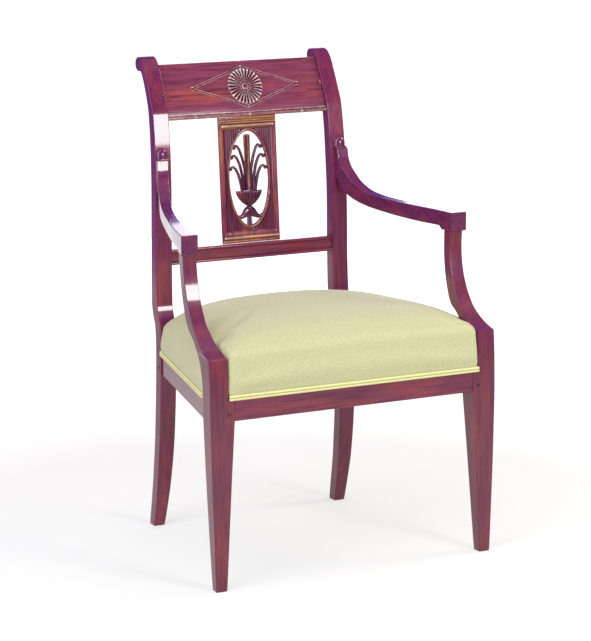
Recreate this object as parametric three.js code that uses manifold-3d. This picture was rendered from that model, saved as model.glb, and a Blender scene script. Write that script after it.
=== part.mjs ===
// Open armchair with scrolled back posts, a pierced splat and a seat stuffed over its rails.
// Lengths are in millimetres. X runs to the viewer's right, Y from the front feet to the back, Z up
// from the floor. The pieces of a pair are made for the right side and mirrored for the left one.
import * as THREE from "three";
import { mergeVertices } from "three/addons/utils/BufferGeometryUtils.js";
import Module from "manifold-3d";

const wasm = await Module();
wasm.setup();

// Clearances and small common sizes
const fit = 0.3; // air between pieces that touch
const arris = 1.2; // softened edge of the planed wood
const overrun = 10; // how far a cutting shape runs past what it cuts

// Heights above the floor, as shares of the chair's height. The notch is what the upholstery fills,
// and the block is the top of the front leg, where the arm support sets back.
const chairHeight = 880;
const heightShares = {
  railBottom: 0.342, railTop: 0.4102, notchHeight: 0.3835, blockHeight: 0.467,
  sweepTurnHeight: 0.5, armUnderside: 0.6545, armTopHeight: 0.6932, ringBottom: 0.7926,
  stayBottom: 0.568, stayTop: 0.6015, crestBottom: 0.8716, crestTop: 0.9841,
  crestPegHeight: 0.9211, screwHeight: 0.7636,
  shoulderBack: 0.4312, shoulderFront: 0.4698, crownHeight: 0.5193,
};
const {
  railBottom, railTop, notchHeight, blockHeight, sweepTurnHeight, armUnderside, armTopHeight,
  ringBottom, stayBottom, stayTop, crestBottom, crestTop, crestPegHeight, screwHeight,
  shoulderBack, shoulderFront, crownHeight,
} = Object.fromEntries(Object.entries(heightShares).map(([place, share]) => [place, share * chairHeight]));

// Front legs: half-widths are measured from the middle of the chair
const seatHalfWidth = 284.5;
const footInset = 7.8; // of the foot's outer edge behind the seat's
const footWidth = 21.5;
const footDepth = 21;
const legWidth = 46.5;
const legDepth = 38.5;
const legLean = 9; // how far the front face leans back by the block's top
const blockWidth = 35.3; // what the notch leaves of the leg's width
const legCantShare = 0.1; // the outer face follows the line of the side rail
const legSpreadShares = [[0, 0], [0.33, 0.4], [0.67, 0.76], [1, 1]];
const legDepthShares = [[0, 0], [0.33, 0.37], [0.67, 0.72], [1, 1]];
const legLeanShares = [[0, 0], [0.36, 0.12], [0.73, 0.33], [0.9, 0.6], [1, 1]];

// Arm supports, which rise from the front legs and set back in a quarter sweep
const supportSetback = 118;
const supportDepth = 21.5;
const supportInset = 5.5;
const supportWidth = 26.4;
const supportOuterShares = [[0, 0], [0.2, 0.9], [0.5, 1], [1, 0.64]];
const supportWidthShares = [[0, 0], [0.2, 0.75], [0.45, 1], [1, 1]];
const sweepFrontShares = [[0.47, 0.06], [1.037, 0.358]];
const sweepTurnSetback = 100;
const sweepLowerShares = [[0.01, 0.45], [0.39, 0.85]];
const sweepUpperShares = [[0.5, 0.06], [1, 0.44]];

// Back posts: the front face is a spline, and the depth is added behind it
const postLine = 384; // front of the posts where the seat meets them
const postSweep = 124.3; // from there back to the rear of the scroll
const postHalfWidth = 204.5;
const postWidth = 32;
const postDepth = 25;
const postCantShare = 0.14;
const postFrontShares = [
  [0, 0.318], [0.057, 0.216], [0.114, 0.129], [0.227, 0.036], [0.39, 0], [0.441, 0.04],
  [0.4625, 0.117], [0.489, 0.177], [0.568, 0.196], [0.682, 0.204], [0.795, 0.253], [0.886, 0.349],
  [0.927, 0.475], [0.98, 0.668], [0.99, 0.706],
];
const postDepthShares = [
  [0, 0.96], [0.227, 0.96], [0.39, 1], [0.4625, 1.08], [0.523, 1.04], [0.682, 0.99],
  [0.795, 0.93], [0.886, 0.87], [0.927, 0.75], [0.95, 0.74], [0.97, 0.84],
];
const postOuterShares = [
  [0, 0.998], [0.14, 1.009], [0.39, 1], [0.489, 0.985], [0.682, 0.9755], [0.795, 0.966], [1, 0.9535],
];
const postWidthShares = [[0, 0.68], [0.057, 0.8], [0.114, 0.89], [0.17, 0.95], [0.3, 1], [1, 0.985]];
const scrollRadius = 13.3;
const scrollNeckShare = 0.972; // share of the height where the front face starts to roll over
const scrollLeanShare = 0.55; // how far back the roll's control point lies for each unit of rise
const scrollTuckShare = 0.64; // share of a full turn at which the scroll's underside starts
const scrollEndShare = 0.02; // share of a full turn by which the scroll's end is flattened
const scrollRungs = 5;

// Seat rails
const railThickness = 24;
const backRailThickness = 20;
const frontRailSetback = 4.2;
const backRailSetback = 2; // behind the posts' front face
const sideRailInset = 6; // behind the outer face of the front leg
const sideRailBackInset = 2; // behind the outer face of the post

// Mortises and tenons
const tenonThickness = 9;
const tenonShoulder = 5;
const tenonHeight = 28;
const frontTenonLength = 24;
const frontTenonSetback = 6;
const sideTenonLength = 15;
const sideTenonInset = 16.5; // from the rail's outer face to its tenon's inner one
const backTenonLength = 9;
const backTenonSetback = 5;

// Pegs that lock the joints, and the screws behind the arms
const pegRadius = 3;
const pegLength = 22;
const shortPegLength = 19.5; // stops before the back rail's tenon
const pegSides = 12;
const pegRise = 12; // above the lower edge of the rails
const frontPegInset = 11; // from the leg's inner face
const screwHeadRadius = 4.2;
const screwShankRadius = 2;
const screwHeadDepth = 3;
const screwLength = 33;
const screwSides = 12;

// Crest rail
const crestRecess = 8; // behind the posts' front face
const crestThickness = 14;
const crestBead = 3;
const crestTenonLength = 15;
const crestTenonThickness = 6;
const crestTenonRise = 28;
const crestTenonHeight = 35;
const carvingOffset = 4.4; // the carver set the lozenge a little to the right of the middle
const lozengeHalfWidth = 110;
const lozengeHeightShare = 0.359; // half its height, as a share of the crest's face
const lozengeCentreShare = 0.525;
const lozengeLine = 1.4;
const lozengeDepth = 0.9;
const pateraRadiusShare = 0.325;
const pateraHeight = 2.4;
const pateraLobes = 28;
const pateraRingShares = [[0.1, 0.55], [0.3, 0.8], [0.33, 0.35], [0.75, 1], [0.93, 0.85], [1, 0.2]];
const pateraFluteShare = 0.45;

// Stay rail
const stayRecess = 4.5; // behind the posts' front face
const stayThickness = 15;
const stayBead = 3;
const stayTenonLength = 14;
const stayTenonThickness = 7;
const stayTenonInset = 6;

// Splat: widths are across its own leaning face, and heights are shares of the board's length
const splatWidth = 119;
const splatThickness = 10;
const splatEdge = 5; // thickness that is left at the edges, whose back is chamfered
const splatGap = 1.1; // under the leaning shoulder
const splatBottomRecess = 3; // behind the face of the stay rail
const splatTopRecess = 3.5; // behind the face of the crest rail
const splatPanelHalf = 53.5;
const splatPanelShares = [0.078, 0.92];
const splatPanelDepth = 2.6;
const splatPanelSlope = 4.2;
const splatTongueLength = 8;
const splatTongueThickness = 4;
const splatTongueHalf = 50;
const reedRadius = 2;
const reedShares = [0.02, 0.051, 0.949, 0.967, 0.985];
const reedSides = 8;
const carvingThickness = 7;
const carvingBevel = 1.4;

// Pierced oval: the places of its carving are shares of its half-width and half-height from its centre
const ovalCentreShare = 0.507;
const ovalHalfWidth = 40.5;
const ovalHeightShare = 0.3715;
const ovalRim = 4.3;
const ovalRimEnd = 6.5; // the rim is wider at the top and the bottom
const ovalSides = 40;
const bowlRimShare = -0.26;
const bowlHalfWidth = 27.4;
const bowlDepthShare = 0.318;
const bowlBulge = 6.5;
const bowlProfileShares = [[1, 0], [0.985, 0.09], [0.945, 0.21], [0.79, 0.52], [0.51, 0.82], [0.24, 1]];
const knotHalfWidth = 7.6;
const knotHalfHeight = 5.6;
const stemHalfWidth = 4.9;
const plumeTopHalf = 6.4;
const plumeWaistHalf = 4.4;
const plumeTopShare = 0.93;
const plumeTipRadius = 4;
const plumeTipSides = 10;
const plumeHalfWidth = 2.9;
const plumeTipShares = [0.66, 0.455, 0.21];
const plumeShares = [
  [[0.16, 0], [0.23, 0.5], [0.43, 0.78], [0.63, 0.97], [0.83, 1.06], [1, 1]],
  [[0.29, 0], [0.37, 0.45], [0.5, 0.76], [0.68, 0.98], [0.85, 1.07], [1, 1]],
  [[0.38, 0], [0.45, 0.4], [0.56, 0.75], [0.7, 1], [0.86, 1.11], [1, 1]],
];
const footUpperShares = [
  [0, -0.58], [0.1, -0.6], [0.22, -0.64], [0.29, -0.69], [0.36, -0.75], [0.5, -0.79], [0.74, -0.74],
];
const footLowerShares = [[0.74, -0.82], [0.42, -0.87], [0.27, -0.85], [0.12, -0.83], [0, -0.82]];

// Arms
const armNose = 5; // how far the block stands in front of its support
const armOverhang = 1.5; // of the block beyond the leg
const armBackInset = 1; // behind the outer face of the post
const armFrontWidth = 32;
const armWaistWidth = 20.5;
const armEndGap = 4.9; // between the end of the arm's rungs and the face of the post
const armSpreadShares = [[0, 0], [0.25, 0.222], [0.55, 0.525], [0.82, 0.796], [0.97, 0.967], [1, 1]];
const armWidthShares = [
  [0, 1], [0.085, 0.72], [0.25, 0.33], [0.42, 0.13], [0.62, 0], [0.76, 0], [0.92, 0.08], [1, 0.18],
];
const armTopShares = [
  [0, 0], [0.25, 0.01], [0.42, 0.02], [0.62, 0.055], [0.755, 0.125], [0.856, 0.28],
  [0.923, 0.5], [0.955, 0.64], [0.975, 0.8], [0.985, 1],
];
const armBottomShares = [
  [0, 0], [0.095, 0], [0.12, 0.075], [0.25, 0.075], [0.42, 0.098], [0.688, 0.185], [0.79, 0.25], [0.856, 0.32],
  [0.923, 0.445], [0.96, 0.56], [0.985, 0.71],
];
const armBlockShare = 0.095; // length of the square block as a share of the reach
const armCoveShare = 0.12; // where the cove behind the block ends
const armEndShare = 0.985; // where the arm meets the post
const armCrowding = 1.6; // how much closer the rungs stand where the arm turns up
const ringHeight = 4;
const ringHalfWidth = 12;
const ringReach = 11;
const knuckleRadius = 11.2;
const knuckleSides = 16;
const armTenonWidth = 12;
const armTenonDepth = 11;
const armTenonHeight = 18;

// Corner blocks, webbing and stuffing
const cornerBlockHeight = 46;
const cornerBlockReach = 46;
const strapWidth = 50;
const strapThickness = 1.2;
const strapLift = 1.3; // how far a strap rises or dips where it crosses another
const strapEdge = 5; // from the outer face of a rail to the end of a strap
const longStrapShares = [-0.73, -0.243, 0.243, 0.73]; // of the back rail's half-length
const crossStrapShares = [0.273, 0.521, 0.768]; // of the way back to the posts
const hessianThickness = 1;
const hessianEdge = 4;

// Top cover and piping
const coverThickness = 1.6;
const coverGap = 0.6; // between the cover and the face of a rail
const coverBulge = 2.2;
const crownShares = [[2.35, 0.34], [2.45, 0.44]]; // how square the crown is, across and along
const coverCells = 14;
const pipingRadius = 2.6;
const pipingPitch = 4.8;
const pipingSides = 8;

// Colours seen in the photograph
const mahogany = { color: 0x7d3c38, roughness: 0.32, metalness: 0 };
const carvedMahogany = { color: 0x8a4a35, roughness: 0.35, metalness: 0 };
const pegWood = { color: 0x4f2a2c, roughness: 0.5, metalness: 0 };
const deal = { color: 0xb08a5c, roughness: 0.8, metalness: 0 };
const coverCloth = { color: 0xdcd6a4, roughness: 0.9, metalness: 0 };
const pipingCloth = { color: 0xece58f, roughness: 0.85, metalness: 0 };
const jute = { color: 0xa98c5f, roughness: 0.95, metalness: 0 };
const horsehair = { color: 0x4a3b30, roughness: 1, metalness: 0 };
const iron = { color: 0x6d6a66, roughness: 0.5, metalness: 0.8 };

const chair = new THREE.Group();
const mix = THREE.MathUtils.lerp;
const point = (y, z) => new THREE.Vector2(y, z);

// A smooth curve through a table of [place, value] rows that never overshoots them
function smooth(table) {
  const gaps = table.slice(1).map((row, i) => row[0] - table[i][0]);
  const slopes = gaps.map((gap, i) => (table[i + 1][1] - table[i][1]) / gap);
  const tangents = table.map((row, i) => {
    if (i === 0) return slopes[0];
    if (i === slopes.length) return slopes[i - 1];
    const [before, after] = [slopes[i - 1], slopes[i]];
    return before * after <= 0 ? 0 : (2 * before * after) / (before + after);
  });
  return (wanted) => {
    const place = THREE.MathUtils.clamp(wanted, table[0][0], table.at(-1)[0]);
    const found = gaps.findIndex((gap, i) => place <= table[i + 1][0]);
    const i = found < 0 ? gaps.length - 1 : found;
    const t = (place - table[i][0]) / gaps[i];
    const rise = (3 - 2 * t) * t * t;
    const start = (1 - t) * (1 - t) * t * gaps[i] * tangents[i];
    const end = (t - 1) * t * t * gaps[i] * tangents[i + 1];
    return mix(table[i][1], table[i + 1][1], rise) + start + end;
  };
}

const steps = (from, to, count) =>
  Array.from({ length: count + 1 }, (_, i) => mix(from, to, i / count));

// The Y of an outline's polyline at a height
function levelAt(points, z) {
  const i = points.findIndex((p, k) => k > 0 && (p.y - z) * (points[k - 1].y - z) <= 0);
  const [a, b] = [points[i - 1], points[i]];
  return mix(a.x, b.x, (z - a.y) / (b.y - a.y));
}

// An outline moved outwards by a margin
function grown(points, margin) {
  const turn = Math.sign(THREE.ShapeUtils.area(points));
  return points.map((p, i) => {
    const before = p.clone().sub(points.at(i - 1)).normalize();
    const after = points[(i + 1) % points.length].clone().sub(p).normalize();
    const out = point(before.y + after.y, -before.x - after.x).normalize();
    const corner = Math.sqrt((1 + before.dot(after)) / 2);
    return p.clone().addScaledVector(out, (turn * margin) / Math.max(corner, 0.5));
  });
}

// Moves every vertex of a geometry through a function of its place
function reshape(geometry, place) {
  const at = geometry.getAttribute("position");
  for (let i = 0; i < at.count; i++) at.setXYZ(i, ...place(at.getX(i), at.getY(i), at.getZ(i)));
  return geometry;
}

// A geometry as a solid, with its faces turned outwards
function solid(geometry) {
  const bare = geometry.clone();
  bare.deleteAttribute("normal");
  bare.deleteAttribute("uv");
  const merged = mergeVertices(bare, fit / 1000);
  const at = merged.getAttribute("position").array;
  const corners = new Uint32Array(merged.index.array);
  const corner = (i) => new THREE.Vector3().fromArray(at, 3 * corners[i]);
  let volume = 0;
  for (let i = 0; i < corners.length; i += 3)
    volume += corner(i).dot(corner(i + 1).cross(corner(i + 2)));
  for (let i = 0; volume < 0 && i < corners.length; i += 3)
    [corners[i], corners[i + 1]] = [corners[i + 1], corners[i]];
  return new wasm.Manifold(new wasm.Mesh({ numProp: 3, vertProperties: at, triVerts: corners }));
}

const join = (first, ...others) => others.reduce((sum, other) => sum.add(other), first);
const cut = (first, ...others) => others.reduce((rest, other) => rest.subtract(other), first);

function geometryOf(shape) {
  const mesh = shape.getMesh();
  const geometry = new THREE.BufferGeometry();
  geometry.setAttribute("position", new THREE.BufferAttribute(mesh.vertProperties, 3));
  geometry.setIndex(new THREE.BufferAttribute(mesh.triVerts, 1));
  const faceted = geometry.toNonIndexed();
  faceted.computeVertexNormals();
  return faceted;
}

function piece(name, shape, finish) {
  const mesh = new THREE.Mesh(geometryOf(shape), new THREE.MeshStandardMaterial(finish));
  mesh.name = name;
  chair.add(mesh);
}

const mirrored = (shape) => solid(reshape(geometryOf(shape), (x, y, z) => [-x, y, z]));

function pair(name, shape, finish) {
  piece(name + "_right", shape, finish);
  piece(name + "_left", mirrored(shape), finish);
}

const sideways = new THREE.Matrix4().makeBasis(
  new THREE.Vector3(0, 1, 0), new THREE.Vector3(0, 0, 1), new THREE.Vector3(1, 0, 0),
);

// An outline in Y and Z carried across X from 0 to a width, with softened edges
function across(points, width, edge) {
  const geometry = new THREE.ExtrudeGeometry(new THREE.Shape(points), {
    depth: width - 2 * edge,
    bevelEnabled: edge > 0,
    bevelThickness: edge,
    bevelSize: edge,
    bevelOffset: -edge,
    bevelSegments: 1,
  });
  return geometry.translate(0, 0, edge).applyMatrix4(sideways);
}

// A solid between two lines of points, rung by rung. The place of a rung's corner follows from its
// share across the width, and the long edges are cut off by a share of the width.
function laddered(one, other, place, edge, edgeShare) {
  const corners = [];
  const faces = [];
  one.forEach((p, i) => {
    const inset = Math.min(edge / p.distanceTo(other[i]), 0.4);
    const ring = [
      [edgeShare, 0], [1 - edgeShare, 0], [1, inset], [1, 1 - inset],
      [1 - edgeShare, 1], [edgeShare, 1], [0, 1 - inset], [0, inset],
    ];
    ring.forEach(([share, along]) => {
      const on = p.clone().lerp(other[i], along);
      corners.push(...place(share, on.x, on.y));
    });
  });
  const last = 8 * (one.length - 1);
  for (let i = 0; i < last; i += 8)
    for (let k = 0; k < 8; k++) {
      const next = (k + 1) % 8;
      faces.push(i + k, i + next, i + 8 + next, i + k, i + 8 + next, i + 8 + k);
    }
  for (let k = 1; k < 7; k++) faces.push(0, k + 1, k, last, last + k, last + k + 1);
  const geometry = new THREE.BufferGeometry();
  geometry.setAttribute("position", new THREE.Float32BufferAttribute(corners, 3));
  geometry.setIndex(faces);
  return solid(geometry);
}

// The same, with both lines and the width grown by a margin when it is used to cut
function ladder(one, other, place, width, margin) {
  if (margin === 0) return laddered(one, other, place, arris, arris / width);
  const ring = grown([...one, ...other.toReversed()], margin);
  const [first, second] = [ring.slice(0, one.length), ring.slice(one.length).toReversed()];
  return laddered(first, second, place, arris / 2, 0.5 * (arris / width));
}

// A box between two corners
function block(low, high) {
  const size = high.map((value, i) => value - low[i]);
  const middle = high.map((value, i) => (value + low[i]) / 2);
  return solid(new THREE.BoxGeometry(...size).translate(...middle));
}

// A round bar along Y or X that starts at a place and is a little wider and longer where it cuts a hole
function bar(start, direction, radius, length, sides, margin = 0) {
  const geometry = new THREE.CylinderGeometry(radius + margin, radius + margin, length + margin, sides);
  geometry.translate(0, (length + margin) / 2, 0);
  const turn = new THREE.Quaternion().setFromUnitVectors(new THREE.Vector3(0, 1, 0), direction);
  return solid(geometry.applyQuaternion(turn).translate(...start));
}

const backwards = new THREE.Vector3(0, 1, 0);
const forwards = new THREE.Vector3(0, -1, 0);
const inwards = new THREE.Vector3(-1, 0, 0);

// Front leg and arm support
const legSpread = smooth(legSpreadShares);
const legThicken = smooth(legDepthShares);
const legSlope = smooth(legLeanShares);
const supportOuter = smooth(supportOuterShares);
const supportNarrow = smooth(supportWidthShares);

const legRise = (z) => Math.min(z / railBottom, 1);
const supportRise = (z) => Math.max(z - blockHeight, 0) / (armUnderside - blockHeight);
const legFront = (z) => legLean * legSlope(z / blockHeight);
const legBack = (z) => legFront(z) + mix(footDepth, legDepth, legThicken(legRise(z)));
const legOuter = (z) =>
  seatHalfWidth - footInset * (1 - legSpread(legRise(z))) - supportInset * supportOuter(supportRise(z));

function legInner(z) {
  const lower = mix(footWidth, legWidth, legRise(z));
  const upper = mix(blockWidth, supportWidth, supportNarrow(supportRise(z)));
  return legOuter(z) - (z < blockHeight ? lower : upper);
}

// A Bezier from one place to another, whose two control points are shares of the way in Y and in Z
function sweep(from, to, shares, count) {
  const [first, second] = shares.map(([y, z]) => point(mix(from.x, to.x, y), mix(from.y, to.y, z)));
  return new THREE.CubicBezierCurve(from, first, second, to).getPoints(count);
}

const supportTop = armUnderside - fit;
const legFrontLine = steps(0, blockHeight, 9).map((z) => point(legFront(z), z));
const supportFrontLine = sweep(
  legFrontLine.at(-1), point(supportSetback, supportTop), sweepFrontShares, 12,
);
const legShoulder = point(legBack(railBottom), notchHeight);
const sweepTurn = point(sweepTurnSetback, sweepTurnHeight);
const supportBackTop = point(supportSetback + supportDepth, supportTop);
const supportBackLine = [
  ...steps(0, railBottom, 7).map((z) => point(legBack(z), z)),
  ...sweep(legShoulder, sweepTurn, sweepLowerShares, 12),
  ...sweep(sweepTurn, supportBackTop, sweepUpperShares, 12).slice(1),
];
const wholeFrontLine = [...legFrontLine, ...supportFrontLine.slice(1)];
const legLevels = [
  ...steps(0, railBottom, 6),
  ...steps(notchHeight, blockHeight, 6),
  ...supportFrontLine.slice(1).map((p) => p.y),
];

function frontLeg() {
  const lines = [wholeFrontLine, supportBackLine].map((line) => legLevels.map((z) => point(levelAt(line, z), z)));
  const shaped = ladder(...lines, (share, y, z) => {
    const outer = legOuter(z) - legCantShare * Math.max(y - levelAt(wholeFrontLine, z), 0);
    return [mix(legInner(z), outer, share), y, z];
  }, legWidth, 0);
  const notch = block(
    [seatHalfWidth - legWidth - overrun, -overrun, notchHeight],
    [seatHalfWidth - blockWidth, supportSetback, blockHeight],
  );
  return cut(shaped, notch);
}

// Back post with its scroll
const postSet = smooth(postFrontShares);
const postThick = smooth(postDepthShares);
const postSpread = smooth(postOuterShares);
const postBroad = smooth(postWidthShares);

const postFront = (z) => postLine + postSweep * postSet(z / chairHeight);
const postBack = (z) => postFront(z) + postDepth * postThick(z / chairHeight);
const postOuter = (z) => postHalfWidth * postSpread(z / chairHeight);
const postInner = (z) => postOuter(z) - postWidth * postBroad(z / chairHeight);

const scrollCentre = point(postLine + postSweep - scrollRadius, chairHeight - scrollRadius);

// The front of a post rolls over into the scroll, whose underside is tucked in behind the neck
function postLines() {
  const neck = chairHeight * scrollNeckShare;
  const rise = chairHeight - neck;
  const roll = new THREE.QuadraticBezierCurve(
    point(postFront(neck), neck),
    point(postFront(neck) + rise * scrollLeanShare, chairHeight),
    point(scrollCentre.x, chairHeight),
  ).getPoints(scrollRungs);
  const onScroll = (turn) => {
    const angle = 2 * Math.PI * turn;
    return point(Math.cos(angle), Math.sin(angle)).multiplyScalar(scrollRadius).add(scrollCentre);
  };
  const over = steps(0.25, scrollEndShare, scrollRungs).map(onScroll);
  const under = steps(scrollTuckShare - 1, -scrollEndShare, 2 * scrollRungs).map(onScroll);
  const levels = steps(0, scrollCentre.y - scrollRadius - 4 * arris, 36);
  const front = levels.map((z) => point(postFront(z), z));
  const back = levels.map((z) => point(postBack(z), z));
  return [[...front, ...roll, ...over.slice(1)], [...back, ...under]];
}

function backPost(margin) {
  return ladder(...postLines(), (share, y, z) => {
    const cant = share * postCantShare * THREE.MathUtils.clamp(y - postFront(z), 0, postDepth);
    return [mix(postInner(z) - margin, postOuter(z) + margin - cant, share), y, z];
  }, postWidth, margin);
}

const postRoom = backPost(fit);

// Seat rails
const sideRailFrontY = (z) => levelAt(supportBackLine, z) + fit;
const sideRailBackY = (z) => postFront(z) - fit;
const legBackLine = legBack(railBottom);
const sideRailFrontHalf = seatHalfWidth - sideRailInset;
const sideRailBackHalf = postHalfWidth - sideRailBackInset;
const sideRailSlopeShare = (sideRailFrontHalf - sideRailBackHalf) / (postLine - legBackLine);
const sideRailOuter = (y) => sideRailFrontHalf - (y - legBackLine) * sideRailSlopeShare;
const sideRailAcross = railThickness * Math.hypot(1, sideRailSlopeShare);
const sideRailInner = (y) => sideRailOuter(y) - sideRailAcross;
const frontRailBack = frontRailSetback + railThickness;
const backRailFront = postLine + backRailSetback;
const backRailBack = backRailFront + backRailThickness;
const legInside = seatHalfWidth - legWidth;
const tenonBottom = railBottom + tenonShoulder;
const tenonTop = tenonBottom + tenonHeight;
const sideTenonFrontHalf = sideRailFrontHalf - sideTenonInset;
const sideTenonBackHalf = sideRailBackHalf - sideTenonInset;

const frontTenon = (margin) => block(
  [legInside - overrun, frontRailSetback + frontTenonSetback - margin, tenonBottom - margin],
  [
    legInside + frontTenonLength + margin,
    frontRailSetback + frontTenonSetback + tenonThickness + margin,
    tenonTop + margin,
  ],
);
const sideFrontTenon = (margin) => block(
  [sideTenonFrontHalf - margin, legBackLine - sideTenonLength - margin, tenonBottom - margin],
  [sideTenonFrontHalf + tenonThickness + margin, legBackLine + overrun, tenonTop + margin],
);
const sideBackTenon = (margin) => block(
  [sideTenonBackHalf - margin, postLine - overrun, tenonBottom - margin],
  [
    sideTenonBackHalf + tenonThickness + margin,
    postLine + sideTenonLength + margin,
    tenonTop + margin,
  ],
);
const backTenon = (margin) => block(
  [postInner(railBottom) - overrun, backRailFront + backTenonSetback - margin, tenonBottom - margin],
  [
    postInner(railBottom) + backTenonLength + margin,
    backRailFront + backTenonSetback + tenonThickness + margin,
    tenonTop + margin,
  ],
);

// A rail across the chair that ends a fit short of the inner faces, wherever these are
function crossRail(outline, inner) {
  return solid(reshape(across(outline, 1, 0), (x, y, z) => [(2 * x - 1) * (inner(z) - fit), y, z]));
}

function upright(front, back, low, high) {
  const heights = steps(low, high, 4);
  return [...heights.map((z) => point(front, z)), ...heights.toReversed().map((z) => point(back, z))];
}

// Pegs: each is given as the place where its head shows and the way that it was driven
const pegHeight = railBottom + pegRise;
const backPegHalf = postInner(pegHeight) + backTenonLength / 2;
const crestPegHalf = postInner(crestPegHeight) + crestTenonLength / 3;
const pegs = {
  front: [[legInside + frontPegInset, frontRailSetback, pegHeight], backwards],
  side_front: [[legOuter(pegHeight) - arris, legBackLine - sideTenonLength / 2, pegHeight], inwards],
  side_back: [[postOuter(pegHeight) - arris, postLine + sideTenonLength / 2, pegHeight], inwards],
  back: [[backPegHalf, postBack(pegHeight) - fit, pegHeight], forwards],
  crest: [[crestPegHalf, postFront(crestPegHeight) + fit, crestPegHeight], backwards],
};
const pegLengths = {
  crest: postBack(crestPegHeight) - postFront(crestPegHeight) - arris,
  side_back: shortPegLength,
};
const peg = (name, margin) => {
  const [start, direction] = pegs[name];
  return bar(start, direction, pegRadius, pegLengths[name] ?? pegLength, pegSides, margin);
};
// A peg hole also opens to the face that the peg was driven from
const pegHole = (name) => {
  const [start, direction] = pegs[name];
  return join(
    peg(name, fit),
    bar(start, direction.clone().negate(), pegRadius, overrun, pegSides, fit),
  );
};

// Crest rail: heights up its face are taken along the curve of the posts
const crestFront = (z) => postFront(z) + crestRecess;
const crestLine = steps(crestBottom, crestTop, 14).map((z) => point(crestFront(z), z));
const crestCurve = new THREE.SplineCurve(crestLine);
const crestLength = crestCurve.getLength();
const lozengeCentre = crestLength * lozengeCentreShare;
const lozengeHalfHeight = crestLength * lozengeHeightShare;
const pateraRadius = crestLength * pateraRadiusShare;

// A place on the crest's face: across, up along the curve, and out of the face
function onCrest(x, up, out) {
  const share = THREE.MathUtils.clamp(up / crestLength, 0, 1);
  const foot = crestCurve.getPointAt(share);
  const along = crestCurve.getTangentAt(share);
  return [x, foot.x - out * along.y, foot.y + out * along.x];
}

function crestBand(low, high, inset, thickness) {
  const heights = steps(low, high, 14);
  return [
    ...heights.map((z) => point(crestFront(z) + inset, z)),
    ...heights.toReversed().map((z) => point(crestFront(z) + inset + thickness, z)),
  ];
}

// Half-round bead of the crest's lower edge, carried between the posts
function bead(centre, radius) {
  const round = steps(0, 2 * Math.PI, 10).slice(1);
  return round.map((angle) => point(Math.cos(angle), Math.sin(angle)).multiplyScalar(radius).add(centre));
}

function patera() {
  const around = pateraLobes * 2;
  const corners = [];
  const faces = [];
  const add = (radius, angle, out) => {
    const up = lozengeCentre + radius * Math.sin(angle);
    corners.push(...onCrest(carvingOffset + radius * Math.cos(angle), up, out));
  };
  const back = -pateraHeight;
  add(0, 0, back);
  add(0, 0, pateraHeight * pateraRingShares[0][1]);
  pateraRingShares.forEach(([share, height], ring) => {
    for (let i = 0; i < around; i++) {
      const flute = ring > 2 && i % 2 ? pateraFluteShare : 1;
      add(pateraRadius * share, (2 * Math.PI * i) / around, pateraHeight * height * flute);
    }
  });
  for (let i = 0; i < around; i++) add(pateraRadius, (2 * Math.PI * i) / around, back);
  const rings = pateraRingShares.length;
  const at = (ring, i) => 2 + ring * around + (i % around);
  for (let i = 0; i < around; i++) {
    faces.push(1, at(0, i), at(0, i + 1), 0, at(rings, i + 1), at(rings, i));
    for (let ring = 0; ring < rings; ring++) {
      faces.push(at(ring, i), at(ring + 1, i), at(ring + 1, i + 1));
      faces.push(at(ring, i), at(ring + 1, i + 1), at(ring, i + 1));
    }
  }
  const geometry = new THREE.BufferGeometry();
  geometry.setAttribute("position", new THREE.Float32BufferAttribute(corners, 3));
  geometry.setIndex(faces);
  return solid(geometry);
}

// The incised line of the lozenge, as a thin frame sunk into the face
function lozenge() {
  const ring = (margin) => [[1, 0], [0, 1], [-1, 0], [0, -1]].flatMap(([x, up], i, tips) => {
    const [nextX, nextUp] = tips[(i + 1) % 4];
    return steps(0, 1, 5).slice(0, -1).map((t) => point(
      mix(x, nextX, t) * (lozengeHalfWidth + 2 * margin),
      mix(up, nextUp, t) * (lozengeHalfHeight + margin),
    ));
  });
  const shape = new THREE.Shape(ring(lozengeLine / 2));
  shape.holes.push(new THREE.Path(ring(-lozengeLine / 2)));
  const geometry = new THREE.ExtrudeGeometry(shape, { depth: lozengeDepth + overrun, bevelEnabled: false });
  geometry.translate(carvingOffset, lozengeCentre, -lozengeDepth);
  return solid(reshape(geometry, (x, up, out) => onCrest(x, up, out)));
}

const crestTenon = (margin) => {
  const inset = (crestThickness - crestTenonThickness) / 2;
  const low = crestBottom + crestTenonRise;
  const outline = crestBand(low, low + crestTenonHeight, inset, crestTenonThickness);
  const half = postInner(crestPegHeight) + crestTenonLength + margin;
  const wide = across(margin > 0 ? grown(outline, margin) : outline, 2 * half, 0);
  return solid(wide.translate(-half, 0, 0));
};

// Stay rail, with a bead along both edges of its face
const stayFront = postFront((stayBottom + stayTop) / 2) + stayRecess;

const stayTenon = (margin) => {
  const inner = postInner((stayBottom + stayTop) / 2);
  return block(
    [-inner - stayTenonLength - margin, stayFront + stayTenonInset / 2 - margin, stayBottom + stayTenonInset - margin],
    [
      inner + stayTenonLength + margin,
      stayFront + stayTenonInset / 2 + stayTenonThickness + margin,
      stayTop - stayTenonInset + margin,
    ],
  );
};

// Splat: drawn flat, with X across, Y up the board and Z out of its face, then leant into place
const splatBase = point(stayFront + splatBottomRecess, stayTop + splatGap);
const splatHead = point(crestFront(crestBottom) + splatTopRecess, crestBottom - fit);
const splatLean = splatHead.clone().sub(splatBase);
const splatHeight = splatLean.length();
const splatUp = splatLean.clone().divideScalar(splatHeight);
const splatPlace = new THREE.Matrix4().makeBasis(
  new THREE.Vector3(1, 0, 0),
  new THREE.Vector3(0, splatUp.x, splatUp.y),
  new THREE.Vector3(0, -splatUp.y, splatUp.x),
).setPosition(0, splatBase.x, splatBase.y);

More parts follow.
